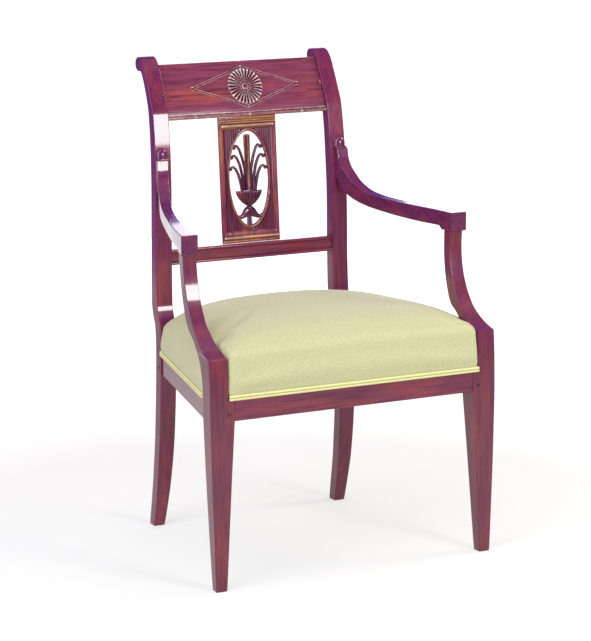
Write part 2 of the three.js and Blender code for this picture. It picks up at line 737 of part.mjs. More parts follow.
function plate(points, back, front, edge, hole) {
  const shape = new THREE.Shape(points);
  if (hole) shape.holes.push(new THREE.Path(hole));
  const geometry = new THREE.ExtrudeGeometry(shape, {
    depth: front - back - (edge > 0 ? 2 * edge : 0),
    bevelEnabled: edge > 0,
    bevelThickness: edge,
    bevelSize: edge,
    bevelOffset: -edge,
    bevelSegments: 1,
  });
  return solid(geometry.translate(0, 0, back + edge));
}

const rectangle = (half, low, high) => [point(-half, low), point(half, low), point(half, high), point(-half, high)];

const ovalCentre = splatHeight * ovalCentreShare;
const ovalHalfHeight = splatHeight * ovalHeightShare;
const oval = (margin, endMargin) => steps(0, 2 * Math.PI, ovalSides).slice(1).map((angle) => point(
  Math.cos(angle) * (ovalHalfWidth + margin),
  ovalCentre + Math.sin(angle) * (ovalHalfHeight + endMargin),
));

// A place in the oval, from its shares of the half-width and the half-height
const inOval = (x, up) => point(x * ovalHalfWidth, ovalCentre + up * ovalHalfHeight);

// A carved stroke: a smooth middle line with an even half-width
function stroke(line, half, count) {
  const curve = new THREE.SplineCurve(line);
  const edge = (side) => steps(0, 1, count).map((t) => {
    const along = curve.getTangent(t);
    return curve.getPoint(t).add(point(-along.y, along.x).multiplyScalar(side * half));
  });
  return [...edge(1), ...edge(-1).toReversed()];
}

const carvingBack = -(splatThickness + carvingThickness) / 2;
const carvingFront = carvingBack + carvingThickness;
const carved = (points) => plate(points, carvingBack, carvingFront, carvingBevel);
const bowlRim = ovalCentre + bowlRimShare * ovalHalfHeight;
const bowlDepth = bowlDepthShare * ovalHalfHeight;
const bowlFloor = bowlRim - bowlDepth;

function plume(side, index) {
  const tipShare = plumeTipShares[index];
  const tipUp = ovalCentre + tipShare * ovalHalfHeight;
  const tip = ovalHalfWidth * Math.sqrt(1 - tipShare ** 2) - plumeTipRadius * 0.75;
  const line = plumeShares[index].map(([x, up]) => point(
    side * x * tip, mix(bowlRim - carvingBevel, tipUp, up),
  ));
  const ball = steps(0, 2 * Math.PI, plumeTipSides).slice(1).map((angle) => point(
    side * tip + plumeTipRadius * Math.cos(angle), tipUp + plumeTipRadius * Math.sin(angle),
  ));
  return [carved(stroke(line, plumeHalfWidth, 9)), carved(ball)];
}

// The scrolled foot reaches from side to side, and its lower edge leaves two small holes by the stem
function urnFoot() {
  const edge = (shares) => new THREE.SplineCurve(shares.map(([x, up]) => inOval(x, up))).getPoints(10);
  const right = [...edge(footUpperShares), ...edge(footLowerShares)];
  const left = right.toReversed().map((p) => point(-p.x, p.y));
  return carved([...right.slice(0, -1), ...left.slice(0, -1)]);
}

function bowl() {
  const side = bowlProfileShares.map(([x, down]) => point(x * bowlHalfWidth, bowlRim - down * bowlDepth));
  const profile = [point(0, bowlRim), ...side, point(0, bowlFloor)];
  const turned = new THREE.LatheGeometry(profile, 20).scale(1, 1, bowlBulge / bowlHalfWidth);
  return solid(turned.translate(0, 0, -splatThickness / 2));
}

function urn() {
  const top = inOval(0, plumeTopShare).y;
  const tall = [
    point(-plumeTopHalf, top), point(-plumeWaistHalf, ovalCentre), point(-plumeWaistHalf, bowlFloor),
    point(plumeWaistHalf, bowlFloor), point(plumeWaistHalf, ovalCentre), point(plumeTopHalf, top),
  ];
  const knot = steps(0, 2 * Math.PI, 12).slice(1).map((angle) => point(
    knotHalfWidth * Math.cos(angle), bowlFloor + knotHalfHeight * (Math.sin(angle) - 1),
  ));
  const stem = rectangle(stemHalfWidth, ovalCentre - ovalHalfHeight - ovalRim / 2, bowlFloor);
  return join(
    bowl(),
    carved(tall),
    carved(knot),
    carved(stem),
    urnFoot(),
    ...[0, 1, 2].flatMap((index) => [...plume(1, index), ...plume(-1, index)]),
  );
}

function reed(share) {
  const geometry = new THREE.CylinderGeometry(reedRadius, reedRadius, splatWidth - 2 * arris, reedSides);
  return solid(geometry.rotateZ(Math.PI / 2).translate(0, share * splatHeight, -reedRadius / 3));
}

// A sunk field with sloping sides, made to be cut from the board's face
function sunk(points, depth, slope) {
  return solid(new THREE.ExtrudeGeometry(new THREE.Shape(points), {
    depth: overrun, bevelThickness: depth, bevelSize: slope, bevelOffset: -slope, bevelSegments: 1,
  }));
}

// The board is full size for the front part of its thickness, and chamfered behind that
function splatBoard() {
  const outline = rectangle(splatWidth / 2, 0, splatHeight);
  const chamfer = splatThickness - splatEdge;
  const board = join(plate(outline, -splatEdge, 0, arris), plate(outline, -splatThickness, 0, chamfer));
  const panel = sunk(
    rectangle(splatPanelHalf, ...splatPanelShares.map((share) => share * splatHeight)),
    splatPanelDepth, splatPanelSlope,
  );
  const opening = plate(oval(0, 0), -splatThickness - overrun, overrun, 0);
  const behind = plate(oval(chamfer, chamfer), -splatEdge - 2 * chamfer, -splatEdge, chamfer);
  const rim = plate(oval(ovalRim, ovalRimEnd), -splatThickness / 2, arris / 2, 0, oval(0, 0).toReversed());
  return join(cut(join(cut(board, panel), rim, ...reedShares.map(reed)), opening, behind), urn());
}

const splatTongues = (margin) => {
  const middle = -splatThickness / 2;
  const half = splatTongueThickness / 2 + margin;
  const reach = splatTongueLength + margin;
  return plate(
    rectangle(splatTongueHalf + margin, -reach, splatHeight + reach), middle - half, middle + half, 0,
  );
};
const leant = (shape) => solid(geometryOf(shape).applyMatrix4(splatPlace));

// Arm: an outline in Y and Z, whose two sides follow the flare and the changing width
const armSpread = smooth(armSpreadShares);
const armWaist = smooth(armWidthShares);
const armFront = supportSetback - armNose;
const armReach = postFront(ringBottom) - armEndGap - armFront;
const armRise = ringBottom - armTopHeight;
const armFrontHalf = seatHalfWidth + armOverhang;
const armBackHalf = postOuter(ringBottom) - armBackInset;
const armShare = (y) => THREE.MathUtils.clamp((y - armFront) / armReach, 0, 1);
const armOuter = (y) => mix(armFrontHalf, armBackHalf, armSpread(armShare(y)));
const armWidth = (y) => mix(armWaistWidth, armFrontWidth, armWaist(armShare(y)));
const armMiddle = (y) => armOuter(y) - armWidth(y) / 2;
const ringTop = ringBottom + ringHeight;
const knuckleCentre = ringTop + knuckleRadius - arris;

const armTop = smooth(armTopShares);
const armUnder = smooth(armBottomShares);

function armBody() {
  const crowded = steps(0, 1, 26).map((t) => mix(armCoveShare, armEndShare, 1 - (1 - t) ** armCrowding));
  const shares = [...steps(0, armBlockShare, 2), ...crowded];
  const line = (rise, base) => {
    const points = shares.map((share) => point(armFront + share * armReach, base + rise(share) * armRise));
    return [...points, point(armFront + armReach + overrun, points.at(-1).y)];
  };
  return ladder(line(armTop, armTopHeight), line(armUnder, armUnderside), (share, y, z) => [
    armOuter(y) - (1 - share) * armWidth(y), y, z,
  ], armWidth(armFront), 0);
}

function knuckle() {
  const middle = armMiddle(armFront + armReach);
  const face = postFront(ringBottom);
  const ring = block(
    [middle - ringHalfWidth, face - ringReach, ringBottom - arris],
    [middle + ringHalfWidth, face + arris, ringTop],
  );
  const ball = new THREE.SphereGeometry(knuckleRadius, knuckleSides, knuckleSides / 2);
  ball.rotateX(Math.PI / 2).translate(middle, postFront(knuckleCentre), knuckleCentre);
  return join(ring, solid(ball));
}

const armTenon = (margin) => {
  const y = supportSetback + (supportDepth - armTenonDepth) / 2;
  const x = legOuter(supportTop) - (supportWidth + armTenonWidth) / 2;
  return block(
    [x - margin, y - margin, supportTop - overrun],
    [x + armTenonWidth + margin, y + armTenonDepth + margin, supportTop + armTenonHeight + margin],
  );
};

const screwStart = [armMiddle(armFront + armReach), postBack(screwHeight) - fit, screwHeight];

function screw(margin) {
  const head = screwHeadRadius + margin;
  const shank = screwShankRadius + margin;
  const profile = [
    [0, -margin], [head, -margin], [head, arris / 2], [shank, screwHeadDepth + margin],
    [shank, screwLength - screwHeadDepth], [0, screwLength + margin],
  ];
  const turned = new THREE.LatheGeometry(profile.map(([x, y]) => point(x, y)), screwSides);
  return solid(turned.rotateX(Math.PI).translate(...screwStart));
}

function arm() {
  return cut(join(armBody(), knuckle()), postRoom, armTenon(fit), screw(fit));
}

// Corner blocks: their outlines follow the faces that they are glued to
function plan(points, low, high) {
  const geometry = new THREE.ExtrudeGeometry(new THREE.Shape(points), { depth: high - low, bevelEnabled: false });
  return solid(geometry.translate(0, 0, low));
}

function frontCornerBlock() {
  const reach = legBackLine + cornerBlockReach;
  const behindLeg = levelAt(supportBackLine, railTop) + 2 * fit;
  return plan([
    point(legInside - cornerBlockReach, frontRailBack + fit),
    point(legInside - fit, frontRailBack + fit),
    point(legInside - fit, behindLeg),
    point(sideRailInner(behindLeg) - fit, behindLeg),
    point(sideRailInner(reach) - fit, reach),
  ], tenonBottom, tenonBottom + cornerBlockHeight);
}

function backCornerBlock() {
  const inFront = postLine - 2 * fit;
  const inner = postInner(railTop) - 2 * fit;
  return plan([
    point(inner - cornerBlockReach, backRailFront - fit),
    point(inner, backRailFront - fit),
    point(inner, inFront),
    point(sideRailInner(inFront) - fit, inFront),
    point(sideRailInner(inFront - cornerBlockReach) - fit, inFront - cornerBlockReach),
  ], tenonBottom, tenonBottom + cornerBlockHeight);
}

// Webbing: each strap rises over one crossing and dips under the next
const strapFloor = railTop + fit + strapThickness / 2;
const strapMiddle = strapFloor + strapLift + fit / 2;

function strap(from, to, crossings, over) {
  const rows = [[from, strapFloor], ...crossings.map((place, i) => [
    place, strapMiddle + ((i + over) % 2 ? strapLift : -strapLift),
  ]), [to, strapFloor]];
  const wave = smooth(rows);
  const places = steps(from, to, 6 * (crossings.length + 1));
  const side = (lift) => places.map((place) => point(place, wave(place) + lift));
  return across([...side(-strapThickness / 2), ...side(strapThickness / 2).toReversed()], strapWidth, 0);
}

const longStraps = longStrapShares.map((share) => share * postInner(railTop));
const crossStraps = crossStrapShares.map((share) => share * postLine);

function webbing() {
  const front = frontRailSetback + strapEdge;
  const back = backRailBack - strapEdge;
  longStraps.forEach((middle, i) => {
    const shape = strap(front, back, crossStraps, i).translate(middle - strapWidth / 2, 0, 0);
    piece("webbing_long_" + (i + 1), solid(shape), jute);
  });
  crossStraps.forEach((middle, i) => {
    const half = sideRailOuter(middle + strapWidth / 2) - strapEdge;
    const shape = strap(-half, half, longStraps, i + 1).rotateZ(-Math.PI / 2);
    piece("webbing_cross_" + (i + 1), solid(shape.translate(0, middle + strapWidth / 2, 0)), jute);
  });
}

const hessianBottom = strapMiddle + strapLift + strapThickness / 2 + fit;
const hessianTop = hessianBottom + hessianThickness;

function hessian() {
  const front = frontRailSetback + hessianEdge;
  const frontCorner = legBackLine + hessianEdge;
  const backCorner = postLine - hessianEdge;
  const back = backRailBack - hessianEdge;
  const half = [
    point(legInside - hessianEdge, front), point(legInside - hessianEdge, frontCorner),
    point(sideRailOuter(frontCorner) - hessianEdge, frontCorner),
    point(sideRailOuter(backCorner) - hessianEdge, backCorner),
    point(postInner(railTop) - hessianEdge, backCorner), point(postInner(railTop) - hessianEdge, back),
  ];
  return plan([...half, ...half.toReversed().map((p) => point(-p.x, p.y))], hessianBottom, hessianTop);
}

// Padded block: a crowned top over upright sides that swell a little, all within a margin of the cover
function padded(margin, bottom) {
  const floor = notchHeight;
  const front = frontRailSetback - coverGap - coverThickness + margin;
  const back = backRailBack + coverGap + coverThickness - margin;
  const half = (y) => sideRailOuter(y) + coverGap + coverThickness - margin;
  const spread = (i) => Math.sin((Math.PI / 2) * ((2 * i) / coverCells - 1));
  const cell = (i, j) => {
    const [side, along] = [spread(i), spread(j)];
    const y = mix(front, back, (along + 1) / 2);
    const shoulder = mix(shoulderFront, shoulderBack, (along + 1) / 2) - margin;
    const dome = (share, [power, root]) => Math.max(1 - Math.abs(share) ** power, 0) ** root;
    const rise = dome(side, crownShares[0]) * dome(along, crownShares[1]);
    const z = mix(shoulder, crownHeight - margin, rise);
    return [side * half(y), y, z];
  };
  const edge = [];
  const n = coverCells;
  for (let i = 0; i < n; i++) edge.push([i, 0]);
  for (let j = 0; j < n; j++) edge.push([n, j]);
  for (let i = n; i > 0; i--) edge.push([i, n]);
  for (let j = n; j > 0; j--) edge.push([0, j]);
  const corners = [];
  const faces = [];
  const index = (i, j) => i * (n + 1) + j;
  for (let i = 0; i <= n; i++) for (let j = 0; j <= n; j++) corners.push(cell(i, j));
  const base = corners.length;
  corners.push(...corners.map(([x, y]) => [x, y, floor]));
  const swell = corners.length;
  const middle = (front + back) / 2;
  edge.forEach(([i, j]) => {
    const [x, y, z] = corners[index(i, j)];
    const out = j === 0 || j === n ? [0, Math.sign(y - middle)] : [Math.sign(x), 0];
    corners.push([x + coverBulge * out[0], y + coverBulge * out[1], mix(floor, z, 0.5)]);
  });
  for (let i = 0; i < n; i++)
    for (let j = 0; j < n; j++) {
      const [a, b, c, d] = [index(i, j), index(i + 1, j), index(i + 1, j + 1), index(i, j + 1)];
      faces.push(a, b, c, a, c, d, base + a, base + c, base + b, base + a, base + d, base + c);
    }
  edge.forEach(([i, j], k) => {
    const next = (k + 1) % edge.length;
    const [a, b] = [index(i, j), index(...edge[next])];
    const [c, d] = [swell + k, swell + next];
    faces.push(a, c, b, b, c, d, c, base + a, d, d, base + a, base + b);
  });
  const geometry = new THREE.BufferGeometry();
  geometry.setAttribute("position", new THREE.Float32BufferAttribute(corners.flat(), 3));
  geometry.setIndex(faces);
  const below = block(
    [-seatHalfWidth - overrun, front - overrun, floor - overrun],
    [seatHalfWidth + overrun, back + overrun, bottom],
  );
  return cut(solid(geometry), below);
}

// What the upholstery has to stay clear of at the corners: all in front of a leg's back face, and all
// behind a post's front face, from the piping up
function cornerRoom(margin) {
  const heights = steps(notchHeight - overrun, armUnderside - overrun, 30);
  const legEdge = heights.map((z) => point(levelAt(supportBackLine, z) + margin, z));
  const postEdge = heights.map((z) => point(postFront(z) - margin, z));
  const ends = (y) => [point(y, heights.at(-1)), point(y, heights[0])];
  const wide = (outline, from) => solid(reshape(across(outline, 1, 0), (x, y, z) => [
    mix(from(z) - margin, seatHalfWidth + overrun, x), y, z,
  ]));
  return join(
    wide([...legEdge, ...ends(-overrun)], () => seatHalfWidth - blockWidth),
    wide([...postEdge, ...ends(postLine + postSweep)], postInner),
  );
}

const skirtBottom = notchHeight + fit + 2 * pipingRadius + pipingPitch + fit;

// Double piping: two round cords side by side
const pipingLow = notchHeight + fit + pipingRadius;

function doubleCord() {
  const arc = (centre, from) => steps(from, from + Math.PI, pipingSides / 2).map((angle) => point(
    pipingRadius * Math.cos(angle), centre + pipingRadius * Math.sin(angle),
  ));
  return [...arc(pipingPitch, 0), point(-pipingRadius * 0.6, pipingPitch / 2), ...arc(0, Math.PI),
    point(pipingRadius * 0.6, pipingPitch / 2)];
}

function pipingAcross(half, y) {
  const cord = across(doubleCord(), 2 * half, 0);
  return solid(cord.translate(-half, y, pipingLow));
}

function sidePiping() {
  const cord = across(doubleCord(), 1, 0).translate(0, 0, pipingLow);
  return solid(reshape(cord, (x, out, z) => {
    const y = mix(sideRailFrontY(pipingLow) + fit, postFront(pipingLow) - 2 * fit, x);
    return [sideRailOuter(y) + fit + pipingRadius + out, y, z];
  }));
}

// Putting the chair together
pair("front_leg", cut(
  join(frontLeg(), armTenon(0)),
  frontTenon(fit), sideFrontTenon(fit), pegHole("front"), pegHole("side_front"),
), mahogany);

pair("back_post", cut(
  backPost(0),
  sideBackTenon(fit), backTenon(fit), crestTenon(fit), stayTenon(fit), screw(fit),
  pegHole("side_back"), pegHole("back"), pegHole("crest"),
), mahogany);

pair("arm", arm(), mahogany);
pair("arm_screw", screw(0), iron);
Object.keys(pegs).forEach((name) => pair(name + "_peg", peg(name, 0), pegWood));

const bothSides = (shape) => [shape, mirrored(shape)];

piece("front_rail", cut(
  join(
    crossRail(upright(frontRailSetback, frontRailBack, railBottom, railTop), () => legInside),
    ...bothSides(frontTenon(0)),
  ),
  ...bothSides(pegHole("front")),
), mahogany);

piece("back_rail", cut(
  join(
    crossRail(upright(backRailFront, backRailBack, railBottom, railTop), postInner),
    ...bothSides(backTenon(0)),
  ),
  ...bothSides(pegHole("back")),
), mahogany);

const sideRail = solid(reshape(new THREE.BoxGeometry(1, 1, 1, 1, 1, 4), (x, y, z) => {
  const height = mix(railBottom, railTop, z + 0.5);
  const along = mix(sideRailFrontY(height), sideRailBackY(height), y + 0.5);
  return [mix(sideRailInner(along), sideRailOuter(along), x + 0.5), along, height];
}));
pair("side_rail", cut(
  join(sideRail, sideFrontTenon(0), sideBackTenon(0)), pegHole("side_front"), pegHole("side_back"),
), mahogany);

const crestBody = crossRail(crestBand(crestBottom, crestTop, 0, crestThickness), postInner);
const crestBeadBody = crossRail(
  bead(point(crestFront(crestBottom) + crestBead / 2, crestBottom + crestBead), crestBead), postInner,
);
piece("crest_rail", cut(
  join(cut(crestBody, lozenge()), crestBeadBody, patera(), crestTenon(0)),
  leant(splatTongues(fit)), ...bothSides(pegHole("crest")),
), carvedMahogany);

const stayBody = crossRail(upright(stayFront, stayFront + stayThickness, stayBottom, stayTop), postInner);
const stayBeads = [stayBottom + stayBead, stayTop - stayBead].map((z) => crossRail(
  bead(point(stayFront + stayBead / 2, z), stayBead), postInner,
));
piece("stay_rail", cut(join(stayBody, ...stayBeads, stayTenon(0)), leant(splatTongues(fit))), mahogany);

const splatCarved = splatBoard();
const splatEnds = cut(splatTongues(0), plate(
  rectangle(splatWidth, arris, splatHeight - arris), -splatThickness - overrun, overrun, 0,
));
piece("splat", leant(join(splatCarved, splatEnds)), carvedMahogany);

pair("corner_block_front", frontCornerBlock(), deal);
pair("corner_block_back", backCornerBlock(), deal);
webbing();
piece("hessian", hessian(), jute);

const clear = bothSides(cornerRoom(coverGap));
piece("stuffing", cut(padded(coverThickness + fit, hessianTop + fit), ...clear), horsehair);
piece("top_cover", cut(
  padded(0, skirtBottom), padded(coverThickness, notchHeight), ...clear,
), coverCloth);

const frontCordY = frontRailSetback - fit - pipingRadius;
const backCordY = backRailBack + fit + pipingRadius;
piece("piping_front", pipingAcross(seatHalfWidth - blockWidth - fit, frontCordY), pipingCloth);
piece("piping_back", pipingAcross(postInner(pipingLow) - 2 * fit, backCordY), pipingCloth);
pair("piping", sidePiping(), pipingCloth);

// The origin is on the floor, under the middle of the chair
chair.position.y = -(postLine + postSweep + frontCordY - pipingRadius) / 2;

export default chair;
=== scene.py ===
# %% [markdown]
# # An open armchair in polished mahogany
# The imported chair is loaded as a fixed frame, and every visible piece is then made again as a fine
# surface in the same place. Lengths are written in millimetres, as a chair maker would, and are
# turned into metres when a piece is put into the scene.

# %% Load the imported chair
import math

import bpy
import numpy as np
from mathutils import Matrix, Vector
from mathutils.bvhtree import BVHTree


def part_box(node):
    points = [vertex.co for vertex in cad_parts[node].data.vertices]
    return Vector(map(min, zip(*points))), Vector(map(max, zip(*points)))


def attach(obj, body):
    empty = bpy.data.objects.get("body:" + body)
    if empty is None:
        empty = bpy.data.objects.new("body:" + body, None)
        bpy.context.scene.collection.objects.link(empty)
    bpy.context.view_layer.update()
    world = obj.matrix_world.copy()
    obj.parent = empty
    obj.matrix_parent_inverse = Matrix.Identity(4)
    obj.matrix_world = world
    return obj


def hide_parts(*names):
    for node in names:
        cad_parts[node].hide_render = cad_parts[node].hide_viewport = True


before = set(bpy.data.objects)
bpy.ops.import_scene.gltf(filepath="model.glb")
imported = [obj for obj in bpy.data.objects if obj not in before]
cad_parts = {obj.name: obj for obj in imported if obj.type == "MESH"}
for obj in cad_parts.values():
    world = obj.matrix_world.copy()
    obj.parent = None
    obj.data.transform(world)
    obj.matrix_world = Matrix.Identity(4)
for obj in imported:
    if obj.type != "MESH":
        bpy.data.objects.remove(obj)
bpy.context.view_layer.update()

# %% [markdown]
# ## The camera
# The photograph was taken from far away with a long lens, a little to the left of the chair and a
# little above the seat. A long lens keeps the legs almost parallel. The camera looks at a point on
# the middle line of the chair, so its turn and its height are the only angles to choose.

# %% Camera
CAMERA_TURN = math.radians(-27.32)
CAMERA_RISE = math.radians(11.729)
CAMERA_DISTANCE = 4.619
CAMERA_LENS = 141.78

CAMERA_AIM = np.array([0.0, -0.0155, 0.412])


def outward(turn, rise):
    """The direction from the chair to a place turned about its upright axis and raised above it."""
    return np.array([math.sin(turn) * math.cos(rise), -math.cos(turn) * math.cos(rise), math.sin(rise)])


camera_data = bpy.data.cameras.new("camera")
camera_data.lens = CAMERA_LENS
camera_data.sensor_width = 36
camera_data.clip_end = 50
camera = bpy.data.objects.new("camera", camera_data)
bpy.context.scene.collection.objects.link(camera)
camera.location = CAMERA_AIM + CAMERA_DISTANCE * outward(CAMERA_TURN, CAMERA_RISE)
camera.rotation_euler = (math.pi / 2 - CAMERA_RISE, 0, CAMERA_TURN)
bpy.context.scene.camera = camera
print("camera stands at", [round(v, 3) for v in camera.location])

# %% [markdown]
# ## From a drawing to a mesh
# A maker draws a curve by marking a few heights and springing a batten through the marks. The
# function below does the same with a table of rows, and never bulges past a mark.

# %% Curves through marks
CHAIR_HEIGHT = 880


def smooth(table):
    """A curve through rows of [place, value]: between two rows it is a cubic, whose slope at a row
    is the harmonic mean of the slopes on both sides, or zero where these change sign."""
    place, value = np.array(table, float).T
    gap = np.diff(place)
    slope = np.diff(value) / gap
    tangent = np.concatenate([slope[:1], np.zeros(len(slope) - 1), slope[-1:]])
    before, after = slope[:-1], slope[1:]
    same = before * after > 0
    tangent[1:-1][same] = 2 * before[same] * after[same] / (before + after)[same]

    def at(wanted):
        x = np.clip(wanted, place[0], place[-1])
        i = np.clip(np.searchsorted(place, x) - 1, 0, len(gap) - 1)
        t = (x - place[i]) / gap[i]
        rise = (3 - 2 * t) * t * t
        ends = (1 - t) ** 2 * t * tangent[i] - (1 - t) * t * t * tangent[i + 1]
        return value[i] + (value[i + 1] - value[i]) * rise + gap[i] * ends

    return at


def mix(a, b, t):
    return a + (b - a) * t


def bezier(points, count):
    """The points of a Bezier curve: its control points weighted by the binomials of t and 1 - t."""
    t = np.linspace(0, 1, count)[:, None]
    last = len(points) - 1
    weighted = [
        math.comb(last, k) * (1 - t) ** (last - k) * t ** k * np.array(point, float)
        for k, point in enumerate(points)
    ]
    return sum(weighted)


def full_turn(count):
    return np.linspace(0, 2 * math.pi, count, endpoint=False)


def places(x, y, z):
    """Points from their three coordinates, each repeated over the rows or columns that it lacks."""
    return np.stack(np.broadcast_arrays(x, y, z), -1)


def lengths(line):
    """How far along a line each of its points lies."""
    return np.concatenate([[0], np.cumsum(np.linalg.norm(np.diff(line, axis=0), axis=1))])


def directions(line):
    """The direction of a line at each of its points, as steps of length one."""
    along = np.gradient(line, axis=0)
    return along / np.linalg.norm(along, axis=1, keepdims=True)


def spread(line, gap, ease=0.0):
    """The same line with points an even gap apart. With an ease, its corners are rounded by a
    running mean whose weights fall off like a bell over that length."""
    line = np.asarray(line, float)
    along = lengths(line)
    wanted = np.linspace(0, along[-1], int(along[-1] / gap) + 2)
    even = np.stack([np.interp(wanted, along, axis) for axis in line.T], 1)
    if ease > 0:
        reach = int(3 * ease / gap) + 1
        bell = np.exp(-0.5 * (np.arange(-reach, reach + 1) * gap / ease) ** 2)
        padded = np.pad(even, ((reach, reach), (0, 0)), mode="reflect", reflect_type="odd")
        even = np.stack([np.convolve(axis, bell / bell.sum(), "valid") for axis in padded.T], 1)
    return even


# %% [markdown]
# ## Surfaces
# Nearly every piece of a chair is a section carried along a path. The rings of points go into one
# array, and the faces between them follow from their row and column numbers. Each closed part is
# turned so that its faces point out, which the sign of its volume tells.

# %% Rings, faces and pieces
FRONT_OF_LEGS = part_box("front_leg_right")[0].y
MILLIMETRE = 0.001


def rounded_corners(width, depth, radius, turns=3):
    """Shares across and along for a ring with round corners: each corner is a quarter circle,
    whose radius is divided by the width and by the depth."""
    width, depth, radius = np.broadcast_arrays(width, depth, radius)
    radius = np.minimum(radius, 0.48 * np.minimum(width, depth))
    angles = np.linspace(0, math.pi / 2, turns + 1)
    out, up = [], []
    for quarter, (right, top) in enumerate([(0, 0), (1, 0), (1, 1), (0, 1)]):
        turn = angles + math.pi + quarter * math.pi / 2
        centre_x = np.where(right, width - radius, radius)
        centre_y = np.where(top, depth - radius, radius)
        out.append((centre_x[:, None] + radius[:, None] * np.cos(turn)) / width[:, None])
        up.append((centre_y[:, None] + radius[:, None] * np.sin(turn)) / depth[:, None])
    return np.concatenate(out, 1), np.concatenate(up, 1)


def between(corners, radius, turns=3):
    """Rings between four lines of corners: each point is the weighted mean of the four corners,
    with weights from its shares across and along."""
    a, b, c, d = [np.asarray(line, float) for line in corners]
    width = (np.linalg.norm(b - a, axis=1) + np.linalg.norm(c - d, axis=1)) / 2
    depth = (np.linalg.norm(d - a, axis=1) + np.linalg.norm(c - b, axis=1)) / 2
    s, t = rounded_corners(width, depth, radius, turns)
    s, t = s[..., None], t[..., None]
    a, b, c, d = [line[:, None, :] for line in (a, b, c, d)]
    return (1 - s) * (1 - t) * a + s * (1 - t) * b + s * t * c + (1 - s) * t * d


def capped(rings, ease=1.0, steps=3):
    """Both ends of a stack of rings, rounded: extra rings shrink towards the end ring's middle by
    a quarter circle."""
    turn = np.linspace(0, math.pi / 2, steps + 1)[1:, None, None]

    def end(last, before):
        middle = last.mean(0)
        out = last.mean(0) - before.mean(0)
        out /= np.linalg.norm(out)
        reach = np.linalg.norm(last - middle, axis=1, keepdims=True)
        shrunk = last - (last - middle) / reach * ease
        ring = shrunk + (last - shrunk) * np.cos(turn)
        return ring + out * ease * (np.sin(turn) - 1), last - out * ease

    top, high = end(rings[-1], rings[-2])
    bottom, low = end(rings[0], rings[1])
    return np.concatenate([bottom[::-1], low[None], rings[1:-1], high[None], top])


def skin(rings, closed=False):
    """Points and faces of a stack of rings: four-sided faces between neighbours, and a flat face
    on each end unless the stack closes on itself."""
    rows, columns = rings.shape[:2]
    row = np.arange(rows if closed else rows - 1)[:, None]
    column = np.arange(columns)[None, :]
    beside, above = (column + 1) % columns, (row + 1) % rows
    quads = np.stack([
        row * columns + column, row * columns + beside,
        above * columns + beside, above * columns + column,
    ], -1).reshape(-1, 4).tolist()
    ends = [] if closed else [
        list(range(columns))[::-1], list(range((rows - 1) * columns, rows * columns)),
    ]
    return rings.reshape(-1, 3), quads + ends


def outwards(points, faces):
    """The faces turned to point out, by the sign of the volume that their fans of triangles hold."""
    volume = 0.0
    for sides in {len(face) for face in faces}:
        same = np.array([face for face in faces if len(face) == sides])
        a = points[same[:, 0]]
        for k in range(1, sides - 1):
            b, c = points[same[:, k]], points[same[:, k + 1]]
            volume += np.einsum("ij,ij->i", a, np.cross(b, c)).sum()
    return faces if volume > 0 else [face[::-1] for face in faces]


def in_frame(points):
    """Millimetres from the front of the legs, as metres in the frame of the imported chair."""
    return np.asarray(points, float) * MILLIMETRE + [0, FRONT_OF_LEGS, 0]


def rows_of(items, what, width=3, kind=float):
    """One array of a mesh, such as the places of its points, with a row for each item."""
    flat = np.empty(width * len(items), kind)
    items.foreach_get(what, flat)
    return flat.reshape(-1, width)


def points_of(mesh):
    return rows_of(mesh.vertices, "co")


def mark(mesh, name, value):
    """A number at each point of a mesh, under a name that a material can read."""
    layer = mesh.attributes.get(name) or mesh.attributes.new(name, "FLOAT", "POINT")
    layer.data.foreach_set("value", value.astype(np.float32))


def mark_edges(mesh):
    """The bend at each point, per millimetre: how far the point lies above its neighbours' mean,
    divided by half the mean square of their distance. Edges bend out, and hollows bend in."""
    points = points_of(mesh)
    pairs = rows_of(mesh.edges, "vertices", 2, int)
    pairs = np.concatenate([pairs, pairs[:, ::-1]])
    gap = points[pairs[:, 1]] - points[pairs[:, 0]]
    below = -np.einsum("ij,ij->i", gap, rows_of(mesh.vertices, "normal")[pairs[:, 0]])
    count = np.bincount(pairs[:, 0], minlength=len(points)) + 1e-9
    fall = np.bincount(pairs[:, 0], below, len(points)) / count
    square = np.bincount(pairs[:, 0], (gap ** 2).sum(1), len(points)) / count + 1e-12
    bend = 2 * fall / square * MILLIMETRE
    # Concave points, and a little of their neighbours, are marked for a painted shade that the materials
    # darken.
    hollow = np.clip((-bend - 0.08) / 0.32, 0, 1)
    beside = np.zeros(len(points))
    np.maximum.at(beside, pairs[:, 0], 0.6 * hollow[pairs[:, 1]])
    mark(mesh, "bend", bend)
    mark(mesh, "hollow", np.maximum(hollow, beside))


